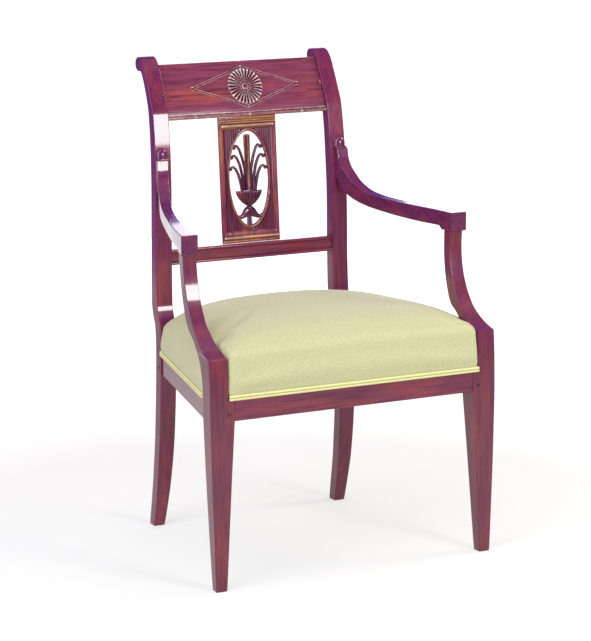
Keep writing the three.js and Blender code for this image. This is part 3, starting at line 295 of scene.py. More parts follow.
def mark_depths(pieces, reach=7.0, rays=14, beside=()):
    """How deep each point lies among its neighbours: the share of short rays, spread by the golden
    angle over the half-sphere round its normal, that meet one of the pieces or what is beside them."""
    count = np.arange(rays) + 0.5
    high = np.sqrt(1 - count / rays)
    wide = np.sqrt(1 - high ** 2)
    turn = count * math.pi * (3 - math.sqrt(5))
    fan = np.stack([wide * np.cos(turn), wide * np.sin(turn), high], 1)
    clouds, faces = [], []
    for piece in [*pieces, *beside]:
        offset = sum(len(known) for known in clouds)
        clouds.append(points_of(piece.data))
        faces += [[corner + offset for corner in face.vertices] for face in piece.data.polygons]
    tree = BVHTree.FromPolygons(np.concatenate(clouds).tolist(), faces)
    for piece, points in zip(pieces, clouds):
        normals = rows_of(piece.data.vertices, "normal")
        side = np.cross(normals, [0.31, 0.52, 0.79])
        side /= np.linalg.norm(side, axis=1, keepdims=True)
        other = np.cross(normals, side)
        hits = np.zeros(len(points))
        starts = [Vector(place) for place in points + normals * 0.00012]
        for across, along, out in fan:
            ways = side * across + other * along + normals * out
            for number, way in enumerate(ways):
                found = tree.ray_cast(starts[number], Vector(way), reach * MILLIMETRE)[3]
                if found is not None:
                    hits[number] += 1 - 0.6 * found / (reach * MILLIMETRE)
        # The materials darken points by this depth: a painted shade in crevices, under overhangs and beside
        # other parts.
        depth = np.clip((hits / rays - 0.1) / 0.4, 0, 1)
        mark(piece.data, "hollow", depth)
        print(f"{piece.name}: {np.mean(depth > 0.5):.0%} of its points lie deep in the carving")


def raw_object(name, parts):
    """One object from closed parts, each a pair of points and faces."""
    points, faces, count = [], [], 0
    for part_points, part_faces in parts:
        faces += [[corner + count for corner in face] for face in outwards(part_points, part_faces)]
        points.append(part_points)
        count += len(part_points)
    mesh = bpy.data.meshes.new(name)
    mesh.from_pydata(in_frame(np.concatenate(points)).tolist(), [], faces)
    made = bpy.data.objects.new(name, mesh)
    bpy.context.scene.collection.objects.link(made)
    return made


def make_piece(name, parts, finish, nodes=(), sharp=40):
    """A finished hard piece: shading that breaks at sharp edges, its marks of bend and hollowness, which
    the material turns into edge wear, painted highlights and painted shade, its material, and the CAD
    nodes that it stands for."""
    piece = raw_object(name, parts)
    mesh = piece.data
    mesh.shade_smooth()
    mesh.set_sharp_from_angle(angle=math.radians(sharp))
    mesh.materials.append(finish)
    mark_edges(mesh)
    even = piece.modifiers.new("even_shading", "WEIGHTED_NORMAL")
    even.keep_sharp = True
    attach(piece, "root")
    if nodes:
        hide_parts(*nodes)
    print(f"{name}: {len(mesh.vertices)} points")
    return piece


def mirrored(parts):
    """The same parts on the other side of the chair."""
    return [(points * [-1, 1, 1], faces) for points, faces in parts]


def make_pair(name, parts, finish, node, sharp=40):
    """The right piece and its mirror image, each with a finish of its own."""
    right = make_piece(f"{name}_right", parts, finish("right"), [f"{node}_right"], sharp)
    left = make_piece(f"{name}_left", mirrored(parts), finish("left"), [f"{node}_left"], sharp)
    return right, left


# %% [markdown]
# ## Polished mahogany
# The wood is a reddish mahogany under a hand-rubbed shellac polish. Its grain is noise that is
# stretched a long way along the board, with fine dark pores on top. The same recipe serves every
# board: only the direction of the grain, the place in the pattern and the warmth change. Hollows
# get a painted shade, and the edges of carved boards a painted highlight.

# %% Node helpers
class Recipe:
    """The nodes of a material or of the world. Each method adds one node and returns its outcome,
    and each input is either such an outcome or a plain value."""

    def __init__(self, owner, shader="Principled BSDF"):
        owner.use_nodes = True
        self.owner, self.tree = owner, owner.node_tree
        self.shader = self.tree.nodes[shader]

    def put(self, made, inputs):
        for key, value in inputs.items():
            if isinstance(value, bpy.types.NodeSocket):
                self.tree.links.new(value, made.inputs[key])
            else:
                made.inputs[key].default_value = value

    def finish(self, **inputs):
        """Inputs of the shader, with low lines for the spaces in their names."""
        self.put(self.shader, {key.replace("_", " "): value for key, value in inputs.items()})

    def node(self, kind, inputs=(), **settings):
        made = self.tree.nodes.new("ShaderNode" + kind)
        for key, value in settings.items():
            setattr(made, key, value)
        self.put(made, dict(inputs))
        return made

    def place(self):
        return self.node("TexCoord").outputs["Object"]

    def mark(self, name):
        return self.node("Attribute", attribute_name=name).outputs["Fac"]

    def moved(self, place, **how):
        return self.node("Mapping", {"Vector": place, **how}).outputs["Vector"]

    def noise(self, place, scale, detail, roughness=0.5, distortion=0.0):
        return self.node("TexNoise", {
            "Vector": place, "Scale": scale, "Detail": detail, "Roughness": roughness, "Distortion": distortion,
        }).outputs["Fac"]

    def product(self, first, second):
        return self.node("Math", {0: first, 1: second}, operation="MULTIPLY").outputs[0]

    def total(self, first, second):
        return self.node("Math", {0: first, 1: second}, operation="ADD").outputs[0]

    def between(self, value, start, end, low=0.0, high=1.0):
        """A slope from low to high, while the value goes from start to end."""
        return self.node("MapRange", {0: value, 1: start, 2: end, 3: low, 4: high}).outputs[0]

    def blend(self, share, first, second, kind="MIX"):
        return self.node("Mix", {0: share, 6: first, 7: second}, data_type="RGBA", blend_type=kind).outputs[2]

    def ramp(self, share, *stops):
        """Colours or greys at places between 0 and 1, with straight slopes between them."""
        made = self.node("ValToRGB", {"Fac": share})
        elements = made.color_ramp.elements
        while len(elements) < len(stops):
            elements.new(0.5)
        for element, (place, value) in zip(elements, stops):
            element.position, element.color = place, value if isinstance(value, tuple) else grey(value)
        return made.outputs["Color"]

    def bump(self, height, strength, distance):
        inputs = {"Strength": strength, "Distance": distance, "Height": height}
        self.finish(Normal=self.node("Bump", inputs).outputs["Normal"])


def colour(hex_code, alpha=1.0):
    """A colour from its usual six digits: each channel is taken from screen values to light."""
    channel = np.array([int(hex_code[i:i + 2], 16) / 255 for i in (0, 2, 4)])
    light = np.where(channel <= 0.04045, channel / 12.92, ((channel + 0.055) / 1.055) ** 2.4)
    return (*light.tolist(), alpha)


def grey(value):
    return (value, value, value, 1)


# %% Mahogany
ALONG_X, ALONG_Y, ALONG_Z = (0, 0, 0), (0, 0, -math.pi / 2), (0, math.pi / 2, 0)


def mahogany(name, turn=ALONG_Z, place=(0, 0, 0), dark="3e122c", middle="722846", warm="8c363c",
             gloss=0.2, figure=1.0, coat=0.95, edge_wear_and_highlight="2c101e", edge_rounding=(0.12, 0.4), metal=0.05):
    """Board of mahogany: broad glows of a warmer red, bands of slow noise for the figure, streaks
    stretched along the grain, and pores. Hollows get a painted shade, and edges a colour of their
    own: wear on plain boards and a painted highlight on carved ones."""
    recipe = Recipe(bpy.data.materials.new(name))
    place_node = recipe.place()
    along = recipe.moved(place_node, Location=place, Rotation=turn)

    def grain(scale, *how):
        return recipe.noise(recipe.moved(along, Scale=scale), 1, *how)

    glow = recipe.ramp(grain((7, 40, 40), 3, 0.55), (0.44, 0), (0.7, 0.9))
    bands = recipe.ramp(grain((9, 190, 190), 4, 0.65, 0.8), (0.3, 1), (0.52, 0))
    streaks = grain((12, 420, 420), 4, 0.6)
    pores = grain((60, 1500, 1500), 1, 0.55)
    wood = recipe.blend(glow, colour(middle), colour(warm))
    wood = recipe.blend(recipe.product(bands, 0.75 * figure), wood, colour(dark))
    streaked = recipe.ramp(streaks, (0.3, 0.62), (0.5, 0.98), (0.72, 1.4))
    wood = recipe.blend(0.9 * figure, wood, streaked, "MULTIPLY")
    wood = recipe.blend(0.35, wood, recipe.ramp(pores, (0.3, 0.4), (0.42, 1)), "MULTIPLY")
    edge = recipe.between(recipe.mark("bend"), *edge_rounding)
    edge_patches = recipe.ramp(recipe.noise(place_node, 90, 3), (0.36, 0.35), (0.6, 0.95))
    nicks_and_glints = recipe.ramp(recipe.noise(place_node, 260, 2), (0.62, 0), (0.66, 0.8))
    # Edges take their own colour in patches: wear on plain boards, a painted highlight on carved ones. Pale
    # nicks are partly wear and partly painted glints. Points marked deep in hollows take a near-black painted
    # shade.
    for where, share, shade in (
        (edge, edge_patches, edge_wear_and_highlight), (edge, nicks_and_glints, "e6d6d0"), (recipe.mark("hollow"), 0.85, "1c0a12"),
    ):
        wood = recipe.blend(recipe.product(where, share), wood, colour(shade))
    recipe.bump(recipe.total(pores, streaks), 0.15, 0.0004)
    recipe.finish(
        Base_Color=wood, Roughness=recipe.ramp(streaks, (0.35, gloss + 0.12), (0.65, gloss)), Metallic=metal,
        Coat_Weight=coat, Coat_Roughness=0.08, Specular_IOR_Level=0.2, IOR=1.5,
    )
    return recipe.owner


def paired_wood(name, right, left, turn=ALONG_Z, **tones):
    """A finish for each side of a pair: the same wood from two places in the pattern."""
    return lambda side: mahogany(f"mahogany_{name}_{side}", turn, right if side == "right" else left, **tones)


upright_wood = paired_wood("upright", (0.13, 0.4, 0.2), (0.71, 0.1, 0.5),
                           dark="441830", middle="6e2c44", warm="823638", figure=0.7)
post_wood = paired_wood("post", (0.33, 1.4, 0.6), (0.91, 2.1, 0.8), middle="702446", warm="86343e", figure=0.85)
arm_wood = paired_wood("arm", (1.33, 0.7, 0.3), (1.91, 0.2, 0.7), (0, 0.2, -math.pi / 2 + 0.28),
                       dark="381136", middle="68254e", warm="823448")
side_rail_wood = paired_wood("side_rail", (0.2, 1.7, 0.1), (0.2, 0.9, 0.1), ALONG_Y)

# %% [markdown]
# ## Front legs and arm supports
# Each front leg and the support above it are sawn from one piece. The leg tapers to the foot on
# two sides, is notched where the seat is upholstered, and ends in a square block. From there the
# support sweeps back and up to the arm. The front and back lines are drawn from the side, and the
# inner and outer faces are set out from the middle of the chair.

# %% Lines of the front leg
RAIL_BOTTOM, RAIL_TOP, NOTCH, BLOCK = [CHAIR_HEIGHT * s for s in (0.342, 0.4102, 0.3835, 0.467)]
SWEEP_TURN, ARM_UNDER, ARM_TOP = [CHAIR_HEIGHT * s for s in (0.5, 0.6545, 0.6932)]
SEAT_HALF, LEG_WIDTH, BLOCK_WIDTH, LEG_DEPTH = 284.5, 46.5, 35.3, 38.5
FOOT_WIDTH, FOOT_DEPTH, FOOT_INSET, LEG_LEAN, LEG_CANT = 21.5, 21, 7.8, 9, 0.1
SUPPORT_BACK, SUPPORT_DEPTH, SUPPORT_INSET, SUPPORT_WIDTH = 118, 21.5, 5.5, 26.4
FIT = 0.3

leg_spread = smooth([[0, 0], [0.33, 0.4], [0.67, 0.76], [1, 1]])
leg_thicken = smooth([[0, 0], [0.33, 0.37], [0.67, 0.72], [1, 1]])
leg_slope = smooth([[0, 0], [0.36, 0.12], [0.73, 0.33], [0.9, 0.6], [1, 1]])
support_outer = smooth([[0, 0], [0.2, 0.9], [0.5, 1], [1, 0.64]])
support_narrow = smooth([[0, 0], [0.2, 0.75], [0.45, 1], [1, 1]])


def leg_front(z):
    return LEG_LEAN * leg_slope(z / BLOCK)


def leg_back(z):
    rise = np.minimum(z / RAIL_BOTTOM, 1)
    return leg_front(z) + mix(FOOT_DEPTH, LEG_DEPTH, leg_thicken(rise))


def leg_outer(z):
    rise = np.minimum(z / RAIL_BOTTOM, 1)
    above = np.maximum(z - BLOCK, 0) / (ARM_UNDER - BLOCK)
    return SEAT_HALF - FOOT_INSET * (1 - leg_spread(rise)) - SUPPORT_INSET * support_outer(above)


def leg_inner(z):
    lower = mix(FOOT_WIDTH, LEG_WIDTH, np.minimum(z / RAIL_BOTTOM, 1))
    above = np.maximum(z - BLOCK, 0) / (ARM_UNDER - BLOCK)
    upper = mix(BLOCK_WIDTH, SUPPORT_WIDTH, support_narrow(above))
    return leg_outer(z) - np.where(z < NOTCH, lower, upper)


def sweep(start, end, shares, count):
    """A cubic Bezier whose two middle points are shares of the way in Y and in Z."""
    middle = [[mix(start[0], end[0], y), mix(start[1], end[1], z)] for y, z in shares]
    return bezier([start, *middle, end], count)


support_top = ARM_UNDER - FIT
straight = np.linspace(0, BLOCK, 80)
leg_front_line = np.concatenate([
    np.stack([leg_front(straight), straight], 1),
    sweep([leg_front(BLOCK), BLOCK], [SUPPORT_BACK, support_top], [[0.47, 0.06], [1.037, 0.358]], 90)[1:],
])
shoulder = [leg_back(RAIL_BOTTOM), NOTCH]
turning = [100, SWEEP_TURN]
straight = np.linspace(0, RAIL_BOTTOM, 60)
leg_back_line = np.concatenate([
    np.stack([leg_back(straight), straight], 1),
    sweep(shoulder, turning, [[0.01, 0.45], [0.39, 0.85]], 60),
    sweep(turning, [SUPPORT_BACK + SUPPORT_DEPTH, support_top], [[0.5, 0.06], [1, 0.44]], 60)[1:],
])


def leg_back_at(z):
    return np.interp(z, leg_back_line[:, 1], leg_back_line[:, 0])


# %% Skin of the front leg
def front_leg():
    """Rings at the heights of the front line's points, with an extra pair at the notch."""
    front = spread(leg_front_line, 1.6, ease=0.9)
    heights = np.sort(np.concatenate([front[:, 1], [NOTCH - 0.01, NOTCH + 0.01]]))
    y_front = np.interp(heights, front[:, 1], front[:, 0])
    y_back = leg_back_at(heights)
    inner, outer = leg_inner(heights), leg_outer(heights)
    lines = [
        places(inner, y_front, heights), places(outer, y_front, heights),
        places(outer - LEG_CANT * (y_back - y_front), y_back, heights), places(inner, y_back, heights),
    ]
    edge_rounding = 1.3 + 1.2 * np.exp(-heights / 9)
    return [skin(capped(between(lines, edge_rounding), 1.1))]


legs = make_pair("leg", front_leg(), upright_wood, "front_leg", sharp=50)

# %% [markdown]
# ## Back posts
# A back post is one long sabre-shaped piece: a rear leg that sweeps back below the seat, and an
# upright that leans back and rolls over into a scroll at the top. Its grain runs straight up the
# board that it was sawn from, whatever the curve does.

# %% Lines of the back post
POST_LINE, POST_SWEEP, POST_HALF, POST_WIDTH, POST_DEPTH = 384, 124.3, 204.5, 32, 25
POST_CANT, SCROLL = 0.035, 13.3

post_set = smooth([
    [0, 0.318], [0.057, 0.216], [0.114, 0.129], [0.227, 0.036], [0.39, 0], [0.441, 0.04],
    [0.4625, 0.117], [0.489, 0.177], [0.568, 0.196], [0.682, 0.204], [0.795, 0.253], [0.886, 0.349],
    [0.927, 0.475], [0.98, 0.668], [0.99, 0.706],
])
post_thick = smooth([
    [0, 0.96], [0.227, 0.96], [0.39, 1], [0.4625, 1.08], [0.523, 1.04], [0.682, 0.99],
    [0.795, 0.93], [0.886, 0.87], [0.927, 0.75], [0.95, 0.74], [0.97, 0.84],
])
post_spread = smooth([
    [0, 0.998], [0.14, 1.009], [0.39, 1], [0.489, 0.985], [0.682, 0.9755], [0.795, 0.966], [1, 0.9535],
])
post_broad = smooth([[0, 0.68], [0.057, 0.8], [0.114, 0.89], [0.17, 0.95], [0.3, 1], [1, 0.985]])


def post_front(z):
    return POST_LINE + POST_SWEEP * post_set(z / CHAIR_HEIGHT)


def post_back(z):
    return post_front(z) + POST_DEPTH * post_thick(z / CHAIR_HEIGHT)


def post_outer(z):
    return POST_HALF * post_spread(z / CHAIR_HEIGHT)


def post_inner(z):
    return post_outer(z) - POST_WIDTH * post_broad(z / CHAIR_HEIGHT)


# %% Skin of the back post
SCROLL_LINE, SCROLL_LINE_DEPTH = 871.5, 0.7


def back_post():
    """Rungs between the front line and the back line. At the top both lines run round the scroll's
    circle: the front one over it, and the back one under it."""
    neck = CHAIR_HEIGHT * 0.972
    rise = CHAIR_HEIGHT - neck
    centre = np.array([POST_LINE + POST_SWEEP - SCROLL, CHAIR_HEIGHT - SCROLL])
    turns = 18
    roll = bezier([
        [post_front(neck), neck], [post_front(neck) + rise * 0.55, CHAIR_HEIGHT], [centre[0], CHAIR_HEIGHT],
    ], turns + 1)

    def on_scroll(turn):
        angle = 2 * math.pi * turn[:, None]
        return centre + SCROLL * np.concatenate([np.cos(angle), np.sin(angle)], 1)

    over = on_scroll(np.linspace(0.25, 0.02, turns + 1))[1:]
    under = on_scroll(np.linspace(-0.36, -0.02, 2 * turns + 1))
    levels = np.linspace(0, centre[1] - SCROLL - 4.8, 260)
    front = np.concatenate([np.stack([post_front(levels), levels], 1), roll, over])
    back = np.concatenate([np.stack([post_back(levels), levels], 1), under])
    groove = SCROLL_LINE_DEPTH * np.exp(-((front[:, 1] - SCROLL_LINE) / 0.9) ** 2)
    groove[len(levels) + turns:] = 0
    front[:, 0] += groove

    def corner(line, outer):
        y, z = line.T
        cant = POST_CANT * np.clip(y - post_front(z), 0, POST_DEPTH)
        return places(post_outer(z) - cant if outer else post_inner(z), y, z)

    lines = [corner(front, False), corner(front, True), corner(back, True), corner(back, False)]
    edge_rounding = 1.3 + 1.4 * np.exp(-front[:, 1] / 9)
    return [skin(capped(between(lines, edge_rounding), 1.1))]


make_pair("post", back_post(), post_wood, "back_post", sharp=50)

# %% [markdown]
# ## Arms
# An arm starts as a square block over its support, narrows to a waist, and sweeps up to the post,
# where a ring and a small round thumb finish it. Seen from above it runs inwards, because the back
# is narrower than the seat.

# %% Arm
RING_BOTTOM = 0.7926 * CHAIR_HEIGHT
RING_HEIGHT, RING_HALF, RING_REACH, RING_BULGE = 4, 12, 11, 1.4
KNUCKLE, KNUCKLE_DEPTH, KNUCKLE_HEIGHT, KNUCKLE_SHAFT = 11.4, 8.5, 19.5, 7
ARM_FRONT, ARM_TAIL = SUPPORT_BACK - 5, 6
ARM_REACH = float(post_front(RING_BOTTOM)) - 4.9 - ARM_FRONT
ARM_RISE = RING_BOTTOM - ARM_TOP
arm_spread = smooth([[0, 0], [0.25, 0.222], [0.55, 0.525], [0.82, 0.796], [0.97, 0.967], [1, 1]])
arm_waist = smooth([
    [0, 1], [0.085, 0.72], [0.25, 0.33], [0.42, 0.13], [0.62, 0], [0.76, 0], [0.92, 0.08], [1, 0.18],
])
arm_top = smooth([
    [0, 0], [0.25, 0.01], [0.42, 0.02], [0.62, 0.055], [0.755, 0.125], [0.856, 0.28],
    [0.923, 0.5], [0.955, 0.64], [0.975, 0.8], [0.985, 1],
])
arm_under = smooth([
    [0, 0], [0.095, 0], [0.12, 0.075], [0.25, 0.075], [0.42, 0.098], [0.688, 0.185], [0.79, 0.25],
    [0.856, 0.32], [0.923, 0.445], [0.96, 0.56], [0.985, 0.71],
])


def arm_share(y):
    return np.clip((y - ARM_FRONT) / ARM_REACH, 0, 1)


def arm_outer(y):
    return mix(SEAT_HALF + 1.5, float(post_outer(RING_BOTTOM)) - 1, arm_spread(arm_share(y)))


def arm_width(y):
    return mix(20.5, 32, arm_waist(arm_share(y)))


def arm_body():
    """Rings along the arm, crowded towards the post, and one more that runs into the post."""
    crowded = mix(0.12, 0.985, 1 - (1 - np.linspace(0, 1, 150)) ** 1.6)
    shares = np.concatenate([np.linspace(0, 0.095, 12), crowded])
    y = ARM_FRONT + shares * ARM_REACH
    top = np.stack([y, ARM_TOP + arm_top(shares) * ARM_RISE], 1)
    under = np.stack([y, ARM_UNDER + arm_under(shares) * ARM_RISE], 1)
    end = ARM_REACH + ARM_FRONT + ARM_TAIL
    top, under = [np.concatenate([line, [[end, line[-1, 1]]]]) for line in (top, under)]

    def corner(line, outer):
        y, z = line.T
        return places(arm_outer(y) - (0 if outer else arm_width(y)), y, z)

    lines = [corner(under, False), corner(under, True), corner(top, True), corner(top, False)]
    return skin(capped(between(lines, 1.2), 1.0))


def ball(centre, radius, rows=24, columns=40):
    """A sphere: circles of latitude from one pole to the other."""
    down = np.linspace(0.02, math.pi - 0.02, rows)[:, None]
    turn, wide = full_turn(columns), np.sin(down)
    return skin(places(wide * np.cos(turn), wide * np.sin(turn), np.cos(down)) * radius + centre)


def knuckle():
    """A cushioned ring between arm and post, and a thumb above it that lies on the post."""
    end = ARM_FRONT + ARM_REACH
    middle = float(arm_outer(end) - arm_width(end) / 2)
    face = float(post_front(RING_BOTTOM))
    low, high = RING_BOTTOM - 1.2, RING_BOTTOM + RING_HEIGHT
    heights = np.linspace(low, high, 9)
    bulge = RING_BULGE * np.sqrt(np.clip(1 - ((heights - (low + high) / 2) / ((high - low) / 2)) ** 2, 0, 1))
    x0, x1 = middle - RING_HALF + RING_BULGE - bulge, middle + RING_HALF - RING_BULGE + bulge
    y0, y1 = face - RING_REACH + RING_BULGE - bulge, face + 2
    lines = [places(x, y, heights) for x, y in ((x0, y0), (x1, y0), (x1, y1), (x0, y1))]
    low = high - 0.6
    rise = KNUCKLE_HEIGHT * np.sin(np.linspace(0, math.pi / 2, 26))
    over = np.maximum(rise - KNUCKLE_SHAFT, 0) / (KNUCKLE_HEIGHT - KNUCKLE_SHAFT)
    round_off = np.sqrt(np.clip(1 - over ** 2, 0.0004, 1))[:, None]
    turn = full_turn(40)
    x = middle + KNUCKLE * round_off * np.cos(turn)
    y = post_front(low + rise)[:, None] + KNUCKLE_DEPTH * round_off * np.sin(turn)
    return [skin(between(lines, 4.5, 6)), skin(places(x, y, (low + rise)[:, None]))]


armrests = make_pair("armrest", [arm_body(), *knuckle()], arm_wood, "arm", sharp=50)
# Painted shade in the recesses of each leg and arm, and where the arm's block sits over its support.
for leg, armrest in zip(legs, armrests):
    mark_depths([leg, armrest])

# %% [markdown]
# ## Seat rails
# The four seat rails are plain boards with softened edges. The side rails run from the back of the
# leg to the curved face of the post, so their ends are cut to those lines.

# %% Rails
RAIL_THICK, BACK_RAIL_THICK, FRONT_RAIL_SET = 24, 20, 4.2
BACK_RAIL_FRONT = POST_LINE + 2
BACK_RAIL_BACK = BACK_RAIL_FRONT + BACK_RAIL_THICK
LEG_BACK_LINE = float(leg_back(RAIL_BOTTOM))
SIDE_FRONT_HALF, SIDE_BACK_HALF = SEAT_HALF - 6, POST_HALF - 2
SIDE_SLOPE = (SIDE_FRONT_HALF - SIDE_BACK_HALF) / (POST_LINE - LEG_BACK_LINE)
LEG_INSIDE = SEAT_HALF - LEG_WIDTH


def side_rail_outer(y):
    return SIDE_FRONT_HALF - (y - LEG_BACK_LINE) * SIDE_SLOPE


def rail(line, first, second):
    """A board with softened edges between four lines: two places in plan, at two heights."""
    corners = [line(edge, height) for edge, height in (
        (first, RAIL_BOTTOM), (second, RAIL_BOTTOM), (second, RAIL_TOP), (first, RAIL_TOP),
    )]
    return [skin(capped(between(corners, 1.3), 0.8))]


def cross_rail(front, thick, inner):
    """Rings across the chair, whose half-length follows the inner faces at each height."""
    share = np.linspace(-1, 1, 60)

    def line(y, z):
        return places(share * (float(inner(z)) - FIT), y, z)

    return rail(line, front, front + thick)


def side_rail():
    """Rings from the back of the leg to the curved face of the post."""
    share = np.linspace(0, 1, 60)

    def line(inset, z):
        y = mix(leg_back_at(z) + FIT, float(post_front(z)) - FIT, share)
        return places(side_rail_outer(y) - inset, y, z)

    return rail(line, RAIL_THICK * math.hypot(1, SIDE_SLOPE), 0)


for side, front, thick, inner, place in (
    ("front", FRONT_RAIL_SET, RAIL_THICK, lambda z: LEG_INSIDE, (0.4, 0.1, 0.9)),
    ("back", BACK_RAIL_FRONT, BACK_RAIL_THICK, post_inner, (1.4, 0.6, 0.3)),
):
    wood = mahogany(f"mahogany_{side}_rail", ALONG_X, place)
    make_piece(f"rail_{side}", cross_rail(front, thick, inner), wood, [f"{side}_rail"])
make_pair("rail_side", side_rail(), side_rail_wood, "side_rail")

# %% [markdown]
# ## Crest rail
# The crest rail bends back with the posts. A lozenge is cut into its face with a V-shaped tool, and
# a round patera with twenty-eight petals stands in the middle. Rows of points follow the lozenge's
# lines, so that a thin cut needs few faces.

# %% The crest's own coordinates
CREST_BOTTOM, CREST_TOP, CREST_THICK, CREST_BEAD = 0.8716 * CHAIR_HEIGHT, 0.9841 * CHAIR_HEIGHT, 14, 3
crest_heights = np.linspace(CREST_BOTTOM, CREST_TOP, 400)
crest_line = np.stack([post_front(crest_heights) + 8, crest_heights], 1)
crest_along, crest_slope = lengths(crest_line), directions(crest_line)
CREST_FACE = float(crest_along[-1])


def on_crest(x, up, out):
    """A place across the face, up its curve and out from it, along the curve's normal."""
    y, z = [np.interp(up, crest_along, crest_line[:, k]) for k in (0, 1)]
    along_y, along_z = [np.interp(up, crest_along, crest_slope[:, k]) for k in (0, 1)]
    beyond = up - np.clip(up, 0, CREST_FACE)
    return places(x, y - out * along_z + beyond * along_y, z + out * along_y + beyond * along_z)


# %% Crest board with its cut lozenge
CARVING_SHIFT, LOZENGE_HALF = 4.4, 110
LOZENGE_CENTRE, LOZENGE_RISE = 0.525 * CREST_FACE, 0.359 * CREST_FACE
CUT_HALF, CUT_DEPTH = 1.8, 1.5
CREST_HALF, CREST_EDGE = 168.0, 1.3


def crest_board():
    """Columns across the chair. In each column the rows go up the face, over the top, down the back
    and round the bead. Two groups of rows follow the lozenge and dip into its cut."""
    marks = CARVING_SHIFT + LOZENGE_HALF * np.array([-1, 0, 1])
    x = np.unique(np.concatenate([np.linspace(-CREST_HALF, CREST_HALF, 230), marks, marks + 1, marks - 1]))
    from_tip = LOZENGE_HALF - np.abs(x - CARVING_SHIFT)
    lozenge = np.maximum(LOZENGE_RISE * from_tip / LOZENGE_HALF, 1.2)
    depth = CUT_DEPTH * np.clip(from_tip / 4 + 0.5, 0, 1)
    dip = np.array([-1.7, -1.15, -0.75, -0.4, 0, 0.4, 0.75, 1.15, 1.7])
    shape = np.array([0, -0.15, 0.0, 0.6, 1, 0.6, 0.0, -0.15, 0])
    slant = math.hypot(1, LOZENGE_RISE / LOZENGE_HALF)
    beside = np.maximum(lozenge[:, None] + dip * CUT_HALF * slant, 0.12 * np.arange(1, len(dip) + 1))
    lower, upper = LOZENGE_CENTRE - beside[:, ::-1], LOZENGE_CENTRE + beside
    groove = -depth[:, None] * shape
    turn = np.linspace(-math.pi / 2, math.radians(65), 9)
    level = 0 * x[:, None]
    bead_up, bead_out = CREST_BEAD * (1 + np.sin(turn)) + level, CREST_BEAD * (np.cos(turn) - 0.5) + level
    quirk = bead_up[:, -1:] + [0.5, 1.0, 1.6], np.array([-0.9, -0.9, 0.0]) + level
    corner = np.linspace(0, math.pi / 2, 4)

    def strip(start, end, count):
        share = np.linspace(0, 1, count + 2)[1:-1]
        return start + (end - start) * share, level + 0 * share

    rise, run = CREST_EDGE * (1 - np.sin(corner)) + level, CREST_EDGE * (1 - np.cos(corner)) + level
    top_front, top_back = (CREST_FACE - rise, -run), (CREST_FACE - run, rise - CREST_THICK)
    back_low = rise, run - CREST_THICK
    back = np.linspace(CREST_FACE - 4, 4, 24) + level
    rows = [
        (bead_up, bead_out), quirk, strip(quirk[0][:, -1:], lower[:, :1], 8), (lower, groove),
        strip(lower[:, -1:], upper[:, :1], 12), (upper, groove),
        strip(upper[:, -1:], top_front[0][:, :1], 6), top_front, top_back,
        (back, 0 * back - CREST_THICK), back_low,
    ]
    up, out = [np.concatenate(part, 1) for part in zip(*rows)]
    points = on_crest(x[:, None], up, out)
    ends = (post_inner(points[..., 2]) - FIT) / CREST_HALF
    outer = np.clip((np.abs(x) / CREST_HALF - 0.7) / 0.3, 0, 1)[:, None]
    points[..., 0] *= mix(1, ends, outer * outer * (3 - 2 * outer))
    return skin(points)


# %% Patera
PATERA, PATERA_RISE, PETALS = 0.325 * CREST_FACE, 3.2, 28


def patera():
    """Height over radius and angle: a boss, a sunk ring, and petals whose section is half a wave
    and whose outer ends are round."""
    share = np.concatenate([
        np.linspace(0.01, 0.2, 14), np.linspace(0.215, 0.3, 8), np.linspace(0.315, 0.9, 26),
        0.9 + 0.1 * np.sin(np.linspace(0.15, math.pi / 2, 10)),
    ])
    angle = full_turn(PETALS * 12)
    wave = np.abs(np.sin(angle * PETALS / 2))[None, :]
    radius = share[:, None]
    petal = (0.35 + 0.65 * np.clip((radius - 0.27) / 0.5, 0, 1)) * wave
    end = np.sqrt(np.clip(1 - ((radius - 0.86) / 0.14) ** 2, 0, 1)) * (radius > 0.86) + (radius <= 0.86)
    petal = petal * end * PATERA_RISE + 0.3
    four = 0.75 + 0.25 * np.cos(4 * angle)[None, :]
    boss = PATERA_RISE * 1.1 * np.sqrt(np.clip(1 - (radius / 0.2) ** 2, 0, 1)) * four + 0.2
    out = np.where(radius < 0.2, boss, np.where(radius < 0.28, 0.15, petal))
    x = CARVING_SHIFT + PATERA * radius * np.cos(angle)
    up = LOZENGE_CENTRE + PATERA * radius * np.sin(angle)
    front = on_crest(x, up, out)
    rim = on_crest(x[-1:], up[-1:], np.full((1, len(angle)), -2.5))
    return skin(np.concatenate([front, rim]))


# The crest's pale edge colour is a painted highlight on the lips of the lozenge's cut, and the patera's
# near-white one a painted highlight on its petals.
crest_wood = mahogany("mahogany_crest", ALONG_X, (0.8, 0.3, 0.55), dark="481a32", middle="7c344e",
                      warm="9c4440", figure=1.3, gloss=0.34, coat=0.2, edge_wear_and_highlight="f0dcd0", edge_rounding=(0.07, 0.3))
patera_wood = mahogany("mahogany_patera", ALONG_X, (0.8, 0.3, 0.55), figure=0.6, gloss=0.22, coat=0.6,
                       edge_wear_and_highlight="fff6ee", edge_rounding=(0.08, 0.34))
crest = make_piece("crest", [crest_board()], crest_wood, ["crest_rail"], sharp=34)
patera_piece = make_piece("crest_patera", [patera()], patera_wood, sharp=34)
# Painted shade in the cuts of the crest and between the patera's petals.
mark_depths([crest, patera_piece], reach=5)

# %% [markdown]
# ## Stay rail
# The low cross rail of the back has a bead along both edges of its face. One moulded section is
# carried from post to post.

# %% Moulded section between the posts
STAY_BOTTOM, STAY_TOP, STAY_THICK, STAY_BEAD = 0.568 * CHAIR_HEIGHT, 0.6015 * CHAIR_HEIGHT, 15, 3
STAY_FACE = float(post_front((STAY_BOTTOM + STAY_TOP) / 2)) + 4.5


def moulded(section):
    """A closed section of [out, height] pairs, carried across and trimmed to the posts."""
    share = np.linspace(-1, 1, 80)[:, None]
    y, z = np.asarray(section, float).T
    return skin(places(share * (post_inner(z) - FIT), y, z))


